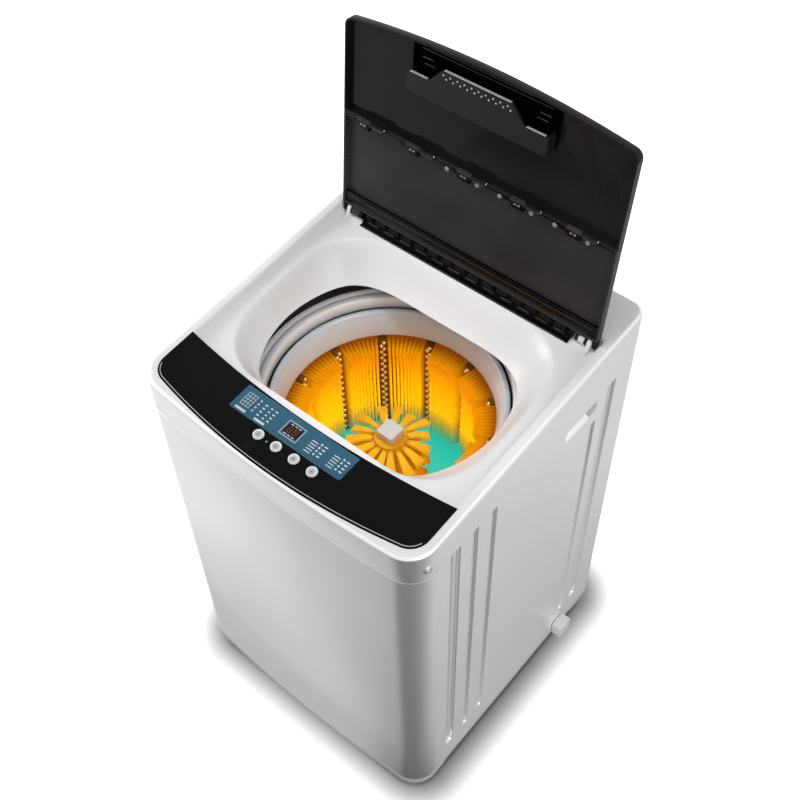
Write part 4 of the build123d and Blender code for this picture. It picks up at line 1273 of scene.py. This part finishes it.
@dataclass
class ControlFace(SubAssembly):
    """Printed marks, lamp and segments on the control panel, its border, and the signs on its buttons."""

    form: CabinetForm = CabinetForm()
    overlay_y: float = -205.0
    half: float = 246.0
    front: float = -247.0
    bow: float = 28.0
    corner: float = 31.0
    corner_steps: int = 12
    bow_steps: int = 60
    rear_steps: int = 24
    rear_draw: float = 0.15
    border: float = 9.0
    border_levels: Plan = (0.54, -0.6)
    stripe_inset: float = 3.6
    stripe_start: float = -20.0
    stripe_wide: float = 1.1
    stripe_levels: Plan = (0.3, 0.85)
    first_button: float = -42.0
    pitch: float = 33.0
    button_y: float = -238.0
    face_radius: float = 5.7
    face_lift: float = 2.65
    lamp_at: Point = (-25.5, -239.0, 0.6)
    lamp_radius: float = 1.5
    mark_thick: float = 0.3
    mark_soft: float = 0.1
    mark_lift: float = 0.62
    sign_lift: float = 2.9
    dot_thick: float = 0.4
    dot_sides: int = 20
    dots_high: int = 4
    digits: tuple[float, ...] = (-12.6, -3.4)
    # Rows of marks have a first place from the overlay's or the button's middle, a size, a count and a step.
    bars: Marks = (
        ((-93.0, 13.0), (17.0, 0.7), 5, (0.0, -5.4)), ((-101.0, 2.2), (0.7, 21.6), 4, (5.4, 0.0)),
        ((-66.0, 10.0), (4.4, 2.2), 4, (0.0, -6.4)), ((-56.0, 10.0), (3.4, 2.2), 4, (0.0, -6.4)),
        ((-47.0, 10.0), (4.4, 2.2), 4, (0.0, -6.4)), ((-93.0, -16.0), (19.0, 3.6), 2, (36.0, 0.0)),
        ((29.0, 6.0), (11.0, 1.5), 5, (0.0, -4.6)), ((69.0, 6.0), (11.0, 1.5), 5, (0.0, -4.6)),
        ((47.0, 8.0), (5.0, 2.2), 4, (0.0, -6.0)), ((87.0, 8.0), (5.0, 2.2), 4, (0.0, -6.0)),
        ((-8.0, 12.2), (31.0, 0.9), 2, (0.0, -24.4)), ((-23.0, 0.0), (0.9, 25.0), 2, (30.0, 0.0)),
        ((-15.0, 8.2), (4.6, 1.3), 3, (7.0, 0.0)), ((-15.0, -8.4), (4.6, 1.3), 3, (7.0, 0.0)))
    # Columns of round marks have a first place, a radius and a step to the rear.
    dots: tuple[tuple[Plan, float, float], ...] = (((-77.0, 11.0), 1.5, -6.4), ((39.5, 8.0), 1.7, -6.0),
                                                   ((79.5, 8.0), 1.7, -6.0))
    segments: Marks = (
        ((0.0, 4.6), (4.4, 1.0), 3, (0.0, -4.6)), ((-2.7, 2.3), (1.0, 3.6), 2, (5.4, 0.0)),
        ((-2.7, -2.3), (1.0, 3.6), 2, (5.4, 0.0)))
    signs: tuple[Marks, ...] = (
        (((0.0, 1.6), (4.6, 0.9), 2, (0.0, -2.8)),), (((0.0, 1.8), (5.0, 0.8), 3, (0.0, -1.8)),),
        (((-1.4, 0.0), (0.9, 4.4), 2, (2.8, 0.0)), ((0.0, 0.0), (3.4, 0.8), 1, (0.0, 0.0))),
        (((0.0, 0.0), (4.6, 0.9), 1, (0.0, 0.0)), ((0.0, 0.0), (0.9, 4.6), 1, (0.0, 0.0))))

    def place(self, x: float, y: float, lift: float) -> Matrix:
        """Place on the sloping panel.

        Args:
            x: place to the right.
            y: place to the rear.
            lift: height over the deck.

        Returns:
            The place, turned to the slope.
        """
        s = self.form.slope()
        at = Bench.at(x, y, self.form.deck(y)) + Vector((0, -math.sin(s), math.cos(s))) * lift / PER_METRE
        return Matrix.Translation(at) @ Matrix.Rotation(s, 4, "X")

    def dot(self, name: str, x: float, y: float, lift: float, radius: float) -> Piece:
        """Thin round mark."""
        return Bench.disc(name, radius, self.dot_thick, self.place(x, y, lift), self.mark_soft,
                          self.dot_sides)

    def marks(self, rows: Marks, x: float, y: float, lift: float) -> list[Piece]:
        """Rows of thin raised bars.

        Args:
            rows: first place, size, count and step of each row.
            x: place of the rows' middle to the right.
            y: place of the rows' middle to the rear.
            lift: height of the bars over the deck.

        Returns:
            The bars.
        """
        bars = []
        for (u, v), size, count, (du, dv) in rows:
            for k in range(count):
                place = self.place(x + u + k * du, y + v + k * dv, lift)
                bars.append(Bench.block("mark", (*size, self.mark_thick), place, self.mark_soft))
        return bars

    def front_path(self, inset: float, start: float) -> list[Plan]:
        """Line that follows the front edge of the panel round both its corners.

        Args:
            inset: how far the line is drawn in from the edge.
            start: angle in degrees at which it sets out on the right corner.

        Returns:
            Plan points from right to left.
        """
        big = (self.half ** 2 + self.bow ** 2) / (2 * self.bow)
        middle = self.front - self.bow + big
        cx = self.half - self.corner
        cy = middle - math.sqrt((big - self.corner) ** 2 - cx ** 2)
        meet = math.atan2(cy - middle, cx)
        begin = math.radians(start)
        turns = [begin + (meet - begin) * k / self.corner_steps for k in range(self.corner_steps + 1)]
        r = self.corner - inset
        bend = [(cx + r * math.cos(a), cy + r * math.sin(a)) for a in turns]
        turns = [meet + (-math.pi - 2 * meet) * k / self.bow_steps for k in range(1, self.bow_steps)]
        r = big - inset
        run = [(r * math.cos(a), middle + r * math.sin(a)) for a in turns]
        return bend + run + [(-x, y) for x, y in reversed(bend)]

    def rim(self) -> None:
        """Glossy black border that carries the panel out to its rim."""
        loops = []
        for inset in (0.0, self.border):
            wide = self.half - inset
            back = [-wide + 2 * wide * k / self.rear_steps for k in range(self.rear_steps + 1)]
            rear = [(x, self.form.panel_edge(x) - inset * self.rear_draw) for x in back]
            loops.append(self.front_path(inset, 0.0) + rear)
        high, low = self.border_levels
        points = [self.place(*at, lift).translation for outer, inner in zip(*loops)
                  for at, lift in ((outer, high), (outer, low), (inner, low), (inner, high))]
        border = Bench.skin("panel_border", points, Bench.sweep(len(loops[0]), closed=True))
        self.dress(border, "fascia_black", Body.CABINET, "panel_black")

    def pinstripe(self) -> None:
        """Thin silver line along the front edge of the panel."""
        path = self.front_path(self.stripe_inset, self.stripe_start)
        low, high = self.stripe_levels
        points: list[Vector] = []
        for k, (x, y) in enumerate(path):
            ahead, behind = path[min(k + 1, len(path) - 1)], path[max(k - 1, 0)]
            run = Vector((ahead[0] - behind[0], ahead[1] - behind[1], 0.0)).normalized()
            side = Vector((-run.y, run.x, 0.0)) * self.stripe_wide / 2
            for s, lift in ((1, low), (1, high), (-1, high), (-1, low)):
                points.append(self.place(x + side.x * s, y + side.y * s, lift).translation)
        stripe = Bench.skin("panel_pinstripe", points, Bench.sweep(len(path)))
        self.dress(stripe, "pinstripe_silver", Body.CABINET, "panel_black")

    def overlay(self) -> None:
        """Bars, dots and segments of the overlay, and the lamp beside the buttons."""
        marks = self.marks(self.bars, 0.0, self.overlay_y, self.mark_lift)
        for (x, y), radius, step in self.dots:
            marks += [self.dot("dot", x, self.overlay_y + y + k * step, self.mark_lift, radius)
                      for k in range(self.dots_high)]
        self.dress(Bench.join("overlay_marks", marks), "print_white", Body.CABINET, "overlay_film")
        segments = [bar for x in self.digits
                    for bar in self.marks(self.segments, x, self.overlay_y, self.mark_lift)]
        self.dress(Bench.join("display_segments", segments), "segment_red", Body.CABINET, "display_lens")
        lamp = self.dot("panel_lamp", *self.lamp_at, self.lamp_radius)
        self.dress(lamp, "clip_clear", Body.CABINET, "panel_black")

    def button_signs(self) -> None:
        """Grey face and a plain sign on each button."""
        for k, sign in enumerate(self.signs):
            body = Body(f"button_{k + 1}")
            mid = self.first_button + k * self.pitch
            face = self.dot(f"button_face_{k + 1}", mid, self.button_y, self.face_lift, self.face_radius)
            self.dress(face, "button_face", body, "button_plastic")
            bars = self.marks(sign, mid, self.button_y, self.sign_lift)
            self.dress(Bench.join(f"button_sign_{k + 1}", bars), "mark_grey", body, "button_plastic")

    def build(self) -> None:
        """Border, stripe, overlay print and button signs."""
        self.rim()
        self.pinstripe()
        self.overlay()
        self.button_signs()


@dataclass
class LidDress(SubAssembly):
    """Pull's painted glints and grip dots, pocket ribs and painted shade, fold blocks and clips, hinge trim.
    """

    TRIM: ClassVar[tuple[Trim, ...]] = (
        # Light bars along the pull's edges: painted glints.
        Trim("pull_glints", "lid_glint", Body.LID_FRONT, LidFrame.FRONT, (
            Row((0.0, -148.0, -10.15), (108.0, 0.9, 0.9)), Row((0.0, -148.0, -7.85), (108.0, 0.9, 0.9)),
            Row((-96.0, -124.0, -10.15), (30.0, 0.9, 0.9), 2, 192.0),
            Row((-96.0, -124.0, -7.85), (30.0, 0.9, 0.9), 2, 192.0))),
        Trim("grip_dots", "lid_glint", Body.LID_FRONT, LidFrame.FRONT, (
            Row((-55.0, -141.0, -10.5), (1.3, 1.0), 10, 11.6, sides=14),
            Row((-49.8, -136.4, -10.5), (1.3, 1.0), 10, 11.6, sides=14))),
        # Black sheet that paints the shade in the pocket behind the pull.
        Trim("pull_pocket_painted_shade", "pocket_painted_shade", Body.LID_FRONT, LidFrame.FRONT, (
            Row((0.0, -128.0, 9.9), (237.0, 62.0, 0.9)),
            Row((-119.0, -136.0, 8.5), (1.6, 46.0, 3.6), 2, 238.0))),
        Trim("pocket_ribs", "lid_rib", Body.LID_FRONT, LidFrame.FRONT, (
            Row((0.0, -152.5, 9.2), (212.0, 0.8, 0.8)), Row((0.0, -157.5, 9.2), (224.0, 0.8, 0.8)),
            Row((-96.0, -140.0, 9.0), (18.0, 1.2, 1.2), 2, 192.0),
            Row((-92.0, -131.0, 9.0), (18.0, 1.2, 1.2), 2, 184.0))),
        Trim("fold_blocks", "lid_black", Body.LID_REAR, LidFrame.FRONT, (
            Row((0.0, 3.4, 1.0), (466.0, 3.2, 0.8)),
            Row((-196.3, 5.25, -1.4), (23.6, 12.5, 6.0), 5, 92.0, 1.0),
            Row((-217.0, 6.4, 1.2), (14.0, 5.0, 2.0), 5, 92.0))),
        # Light bars on the fold blocks: painted highlights.
        Trim("fold_shines", "clip_clear", Body.LID_REAR, LidFrame.FRONT, (
            Row((-199.0, 4.0, -4.45), (4.0, 2.6, 0.4), 5, 92.0),
            Row((-193.0, 4.0, -4.45), (4.0, 2.6, 0.4), 5, 92.0))),
        Trim("fold_clips", "clip_clear", Body.LID_REAR, LidFrame.FRONT, (
            Row((-44.0, 8.5, 1.0), (3.6, 2.2), 3, 92.0, 0.8, 24),
            Row((9.0, 10.0, 1.0), (3.6, 2.2), 3, 92.0, 0.8, 24))),
        Trim("hinge_band", "lid_black", Body.LID_REAR, LidFrame.REAR, (
            Row((0.0, -24.0, -0.6), (468.0, 19.0, 5.6), bevel=0.8),
            Row((-234.2, -4.0, 0.0), (5.8, 15.0, 10.6), 2, 468.4, 1.0),
            Row((-203.8, 0.0, 0.0), (7.3, 1.2), 2, 407.6, roll=True),
            Row((-220.8, 0.0, 0.0), (7.3, 1.2), 2, 441.6, roll=True),
            Row((-201.0, 0.0, 0.0), (6.9, 6.4), roll=True))),
        # Light lines and bands round the hinge: painted highlights.
        Trim("hinge_highlight_lines", "lid_rib", Body.LID_REAR, LidFrame.REAR, (
            Row((0.0, -16.5, -3.5), (440.0, 0.8, 0.6)), Row((0.0, -27.0, -3.5), (452.0, 0.8, 0.6)),
            Row((-217.0, 0.0, 0.0), (6.75, 0.8), 3, 4.5, roll=True))),
        Trim("hinge_sleeve", "pin_white", Body.LID_REAR, LidFrame.REAR, (
            Row((213.0, 0.0, 0.0), (6.9, 9.0), roll=True),), "pin_plastic"),
        Trim("gutter_lip", "lid_black", Body.CABINET, LidFrame.DECK, (
            Row((0.0, 155.4, -15.2), (392.0, 6.0, 1.8)),)),
        # Light line and dashes on the hinge bar: painted highlights.
        Trim("hinge_highlight_dashes", "lid_rib", Body.CABINET, LidFrame.DECK, (
            Row((0.0, 153.4, -14.35), (384.0, 1.0, 0.6)),
            Row((-176.0, 162.0, -10.9), (20.0, 1.6, 0.6), 12, 32.0))))

    form: CabinetForm = CabinetForm()
    hinge: Plan = (167.0, 813.104)
    lean: float = -95.6
    fold_line: Point = (0.0, -178.0, -7.5)

    def rear(self, x: float, y: float, z: float) -> Matrix:
        """Place in the rear half's frame: origin on the hinge, -Y to the fold, +Z outward."""
        hinge = (Matrix.Translation(Bench.at(0.0, *self.hinge))
                 @ Matrix.Rotation(math.radians(self.lean), 4, "X"))
        return hinge @ Bench.shift(x, y, z)

    def front(self, x: float, y: float, z: float) -> Matrix:
        """Place in the frame of the fold line, for the front half and the fold's trim."""
        return self.rear(*self.fold_line) @ Bench.shift(x, y, z)

    def deck(self, x: float, y: float, lift: float) -> Matrix:
        """Place over the sloping deck, turned to its slope."""
        return (Matrix.Translation(Bench.at(x, y, self.form.deck(y) + lift))
                @ Matrix.Rotation(self.form.slope(), 4, "X"))

    def build(self) -> None:
        """Dress the pull, the fold, the hinge and the fixed hinge bar."""
        frames = {LidFrame.FRONT: self.front, LidFrame.REAR: self.rear, LidFrame.DECK: self.deck}
        for trim in self.TRIM:
            parts = [part for row in trim.rows for part in row.build(frames[trim.frame])]
            self.dress(Bench.join(trim.name, parts), trim.finish, trim.body, trim.slot)


@dataclass
class DrainCollar(SubAssembly):
    """Square white collar round the drain outlet."""

    at: Point = (275.0, 136.0, 74.0)
    size: Point = (20.0, 31.0, 31.0)
    soft: float = 1.2
    bore: float = 14.1
    bore_long: float = 50.0
    bore_sides: int = 48

    def build(self) -> None:
        """Bore the block and soften it."""
        place = Matrix.Translation(Bench.at(*self.at))
        collar = Bench.block("drain_collar", self.size, place, self.soft)
        turned = place @ Matrix.Rotation(math.pi / 2, 4, "Y")
        hole = Bench.disc("hole", self.bore, self.bore_long, turned, sides=self.bore_sides)
        Bench.apply(collar, "BOOLEAN", object=hole, operation="DIFFERENCE")
        bpy.data.objects.remove(hole)
        self.dress(collar, "fitting_white", Body.CABINET, "fitting_plastic")


@dataclass
class CarryGrips(SubAssembly):
    """White sloping lips in the carry handles, made brighter by painted light in their finish."""

    at: Point = (253.0, 103.0, 705.0)
    size: Point = (18.0, 62.0, 2.0)
    soft: float = 0.6
    tilt: float = 38.0

    def build(self) -> None:
        """One lip on each side."""
        x, y, z = self.at
        for name, side in (("right", 1.0), ("left", -1.0)):
            place = Matrix.Translation(Bench.at(side * x, y, z))
            turn = Matrix.Rotation(math.radians(side * self.tilt), 4, "Y")
            lip = Bench.block(f"grip_lip_{name}", self.size, place @ turn, self.soft)
            self.dress(lip, "grip_white", Body.CABINET, "fitting_plastic")


@dataclass
class CadDress(SubAssembly):
    """Finishes and softened edges for the solids that show as they are, with sizes in metres."""

    NODES: ClassVar[dict[str, tuple[str, ...]]] = {
        "cabinet_paint": ("cabinet_shell", "back_panel"),
        "base_grey": ("base_frame",),
        "foot_rubber": ("levelling_feet",),
        "handle_white": ("side_handle_right", "side_handle_left"),
        "screw_zinc": ("cover_screws",),
        "fascia_black": ("control_panel",),
        "print_blue": ("panel_overlay",),
        "lens_red": ("display_window",),
        "board_green": ("control_board",),
        "button_white": ("button_1", "button_2", "button_3", "button_4"),
        "lid_smoke": ("lid_front_panel",),
        "lid_smoke_rear_painted_light": ("lid_rear_panel",),
        "pull_gloss": ("lid_handle_cup",),
        "lid_black": ("lid_hinge_bar",),
        "pin_white": ("lid_hinge_pins", "lid_fold_pins"),
        "tub_white": ("outer_tub",),
        "drum_steel": ("drum_basket",),
        "cast_alloy": ("drum_flange", "clutch_housing", "clutch_pulley", "motor_pulley"),
        "motor_paint": ("motor",),
        "shaft_steel": ("spin_shaft", "wash_shaft", "suspension_rods", "mounting_plate", "corner_brackets"),
        "pulsator_teal": ("pulsator",),
        "cap_grey": ("post_cap",),
        "belt_rubber": ("drive_belt", "drain_hose"),
        "fitting_grey": ("suspension_cups", "drain_valve", "cord_gland"),
        "fitting_white": ("drain_spigot", "inlet_valve"),
    }
    SOFT: ClassVar[dict[str, float]] = {
        "cabinet_shell": 0.0006, "base_frame": 0.0008, "control_panel": 0.0006, "lid_rear_panel": 0.001,
        "lid_front_panel": 0.0012, "lid_handle_cup": 0.0009, "pulsator": 0.0015, "post_cap": 0.0025,
        "button_1": 0.0012, "button_2": 0.0012, "button_3": 0.0012, "button_4": 0.0012,
        "side_handle_right": 0.0005, "side_handle_left": 0.0005, "drain_spigot": 0.0008,
        "lid_hinge_bar": 0.0005, "levelling_feet": 0.0008, "drum_flange": 0.0008, "motor": 0.0008,
        "clutch_pulley": 0.0005,
    }
    weld: float = 0.000005
    soft_angle: float = 40.0
    soft_steps: int = 2

    def build(self) -> None:
        """Dress every node that still shows."""
        for finish, names in self.NODES.items():
            for name in names:
                obj = frame["nodes"][name]
                obj.data.materials.clear()
                obj.data.materials.append(self.palette[finish])
                obj.modifiers.new("weld", "WELD").merge_threshold = self.weld
                if name in self.SOFT:
                    soft = obj.modifiers.new("soft_edges", "BEVEL")
                    soft.width = self.SOFT[name]
                    soft.segments = self.soft_steps
                    soft.limit_method = "ANGLE"
                    soft.angle_limit = math.radians(self.soft_angle)
                    soft.use_clamp_overlap = True
                log.info("node %s: %s", name, finish)


@dataclass(frozen=True)
class Lamp:
    """Area lamp of a size, or a spot with a cone in degrees and a softness, aimed at a target."""

    name: str
    at: Point
    target: Point
    size: float
    power: float
    spread: float = 0.0
    blend: float = 0.4

    def build(self) -> None:
        """Make the lamp and turn it to its target."""
        data = bpy.data.lights.new(self.name, "SPOT" if self.spread else "AREA")
        data.energy = self.power
        if self.spread:
            data.spot_size = math.radians(self.spread)
            data.spot_blend = self.blend
            data.shadow_soft_size = self.size
        else:
            data.shape = "DISK"
            data.size = self.size
        obj = bpy.data.objects.new(self.name, data)
        obj.location = self.at
        obj.rotation_euler = (Vector(self.target) - Vector(self.at)).to_track_quat("-Z", "Y").to_euler()
        bpy.context.scene.collection.objects.link(obj)


@dataclass
class Studio:
    """Floor, lamps and the camera at the photograph's angle.

    Each fade has a span of distances from the footprint, in metres, and the levels at its ends.
    The flag has a share of a turn round the corner, and a level, for each stop.
    """

    azimuth: float = 41.39
    elevation: float = 51.35
    roll: float = -1.96
    lens: float = 52.95
    sensor: float = 36.0
    shift: float = 0.006
    eye: Point = (742.9, -842.9, 2073.4)
    ambient: float = 0.4
    floor_size: float = 14.0
    floor_roughness: float = 0.95
    corner: Plan = (0.202, -0.221)
    footprint: Plan = (0.207, 0.217)
    foot_corner: float = 0.04
    shadow: Plan = (0.003, 0.014)
    # Painted shadow round the machine: the near and far fades dim the floor's light for the camera, the next
    # fade darkens its colour.
    near: Fade = ((0.0, 0.016), (0.0, 0.18))
    far: Fade = ((0.0, 0.09), (0.0, 0.82))
    painted_shadow_tone: Fade = ((0.0, 0.16), (0.03, 0.9))
    mirror: Fade = ((0.0, 0.5), (0.62, 1.0))
    flag: tuple[Plan, ...] = (
        (0.0, 1.0), (0.085, 1.0), (0.145, 0.56), (0.2, 0.42), (0.26, 0.03), (0.36, 0.0), (0.45, 0.14),
        (0.55, 0.5), (0.625, 0.68), (0.7, 0.72), (0.8, 0.76), (0.92, 0.84), (1.0, 1.0))
    lamps: tuple[Lamp, ...] = (
        Lamp("key", (-2.1, -0.7, 2.0), (0.0, -0.1, 0.6), 1.2, 27.0),
        Lamp("fill", (2.4, -0.7, 1.9), (0.2, 0.0, 0.5), 1.6, 22.0),
        Lamp("top", (-0.1, -0.2, 3.2), (0.0, 0.0, 0.7), 1.0, 9.5),
        Lamp("drum_from_right", (0.95, -0.1, 2.1), (-0.1, -0.02, 0.56), 0.12, 52.0, 11.0),
        Lamp("drum_from_left", (-0.95, -0.1, 2.1), (0.1, -0.02, 0.56), 0.12, 48.0, 11.0))

    def camera(self) -> None:
        """Camera fitted to the photograph."""
        a, e, r = (math.radians(v) for v in (self.azimuth, self.elevation, self.roll))
        back = Vector((math.sin(a) * math.cos(e), -math.cos(a) * math.cos(e), math.sin(e)))
        right = Vector((math.cos(a), math.sin(a), 0.0))
        up = back.cross(right)
        x = right * math.cos(r) + up * math.sin(r)
        y = up * math.cos(r) - right * math.sin(r)
        cam = bpy.data.objects.new("camera", bpy.data.cameras.new("camera"))
        cam.data.lens = self.lens
        cam.data.sensor_width = self.sensor
        cam.data.shift_x = self.shift
        cam.matrix_world = (Matrix.Translation(Bench.at(*self.eye))
                            @ Matrix((x, y, back)).transposed().to_4x4())
        bpy.context.scene.collection.objects.link(cam)
        bpy.context.scene.camera = cam

    def away(self, wire: Wiring, shift: Plan = (0.0, 0.0)) -> Socket:
        """Distance over the floor from the machine's footprint, or from its painted shadow.

        Args:
            wire: wiring of the floor.
            shift: how far the painted shadow lies off the footprint.

        Returns:
            The distance.
        """
        out = wire.add("TexCoord").outputs["Object"]
        mid = (Bench.OFFSET[0] / PER_METRE + shift[0], Bench.OFFSET[1] / PER_METRE + shift[1], 0.0)
        for operation, value in (("SUBTRACT", mid), ("ABSOLUTE", None), ("SUBTRACT", (*self.footprint, 0.0)),
                                 ("MAXIMUM", (0.0, 0.0, 0.0)), ("MULTIPLY", (1.0, 1.0, 0.0))):
            values = {0: out, 1: value} if value else {0: out}
            out = wire.add("VectorMath", values, operation=operation).outputs["Vector"]
        length = wire.add("VectorMath", {0: out}, operation="LENGTH").outputs["Value"]
        return wire.math("SUBTRACT", length, self.foot_corner)

    def mirrored(self, wire: Wiring, away: Socket) -> Socket:
        """What polished faces see on the floor: white, with painted shadow near the footprint and a dark flag
        set off the front corner.

        Args:
            wire: wiring of the floor.
            away: distance from the footprint.

        Returns:
            The level of the light.
        """
        place = wire.add("TexCoord").outputs["Object"]
        centre = {"Vector": place, "Location": (-self.corner[0], -self.corner[1], 0.0)}
        around = wire.add("TexGradient", gradient_type="RADIAL")
        wire.feed(around, {"Vector": wire.add("Mapping", centre).outputs["Vector"]})
        flag = wire.ramp(around.outputs["Fac"], [(at, (level,) * 3) for at, level in self.flag])
        return wire.math("MULTIPLY", flag, wire.span(away, *self.mirror, True))

    def floor(self) -> None:
        """White floor with a shadow painted at the foot of the machine, over the shadow that the lamps cast.
        """
        Bench.idle()
        bpy.ops.mesh.primitive_plane_add(size=self.floor_size)
        floor = bpy.context.object
        floor.name = "floor"
        mat = bpy.data.materials.new("floor_white")
        mat.use_nodes = True
        wire = Wiring(mat.node_tree)
        shader = mat.node_tree.nodes["Principled BSDF"]
        path = wire.add("LightPath").outputs
        away = self.away(wire)
        # Painted shadow: the floor's own light for the camera fades out near the footprint, and its colour
        # darkens there.
        near = wire.span(away, *self.near, True)
        far = wire.span(self.away(wire, self.shadow), *self.far, True)
        shown = wire.math("MULTIPLY", wire.math("ADD", near, far), path["Is Camera Ray"])
        wire.feed(shader, {
            "Base Color": wire.span(away, *self.painted_shadow_tone, True), "Roughness": self.floor_roughness,
            "Specular IOR Level": 0.0, "Emission Color": WHITE, "Emission Strength": shown})
        mirror = wire.add("Emission", {"Color": self.mirrored(wire, away)})
        either = wire.add("MixShader", {
            "Fac": path["Is Glossy Ray"], 1: shader.outputs["BSDF"], 2: mirror.outputs["Emission"]})
        wire.feed(mat.node_tree.nodes["Material Output"], {"Surface": either.outputs["Shader"]})
        floor.data.materials.append(mat)

    def world(self) -> None:
        """Even surrounding light, white where the camera, mirrors and glass see it."""
        world = bpy.data.worlds.new("studio")
        bpy.context.scene.world = world
        world.use_nodes = True
        wire = Wiring(world.node_tree)
        path = wire.add("LightPath").outputs
        seen = wire.math("MAXIMUM", path["Is Camera Ray"], path["Is Transmission Ray"])
        level = wire.span(wire.math("MAXIMUM", seen, path["Is Glossy Ray"]), levels=(self.ambient, 1.0))
        wire.feed(world.node_tree.nodes["Background"], {"Color": WHITE, "Strength": level})

    def build(self) -> None:
        """Set up floor, light and camera."""
        bpy.context.scene.view_settings.view_transform = "Standard"
        self.floor()
        self.world()
        for lamp in self.lamps:
            lamp.build()
        self.camera()


def main() -> None:
    """Build the machine's looks in order and report each piece."""
    logging.basicConfig(level=logging.INFO, format="%(name)s %(message)s")
    palette = Palette()
    for kind in (CadDress, DeckMoulding, DrumRings, BrushDrum, ControlFace, LidDress, DrainCollar,
                 CarryGrips):
        kind(palette).build()
    Studio().build()


if __name__ == "__main__":
    main()
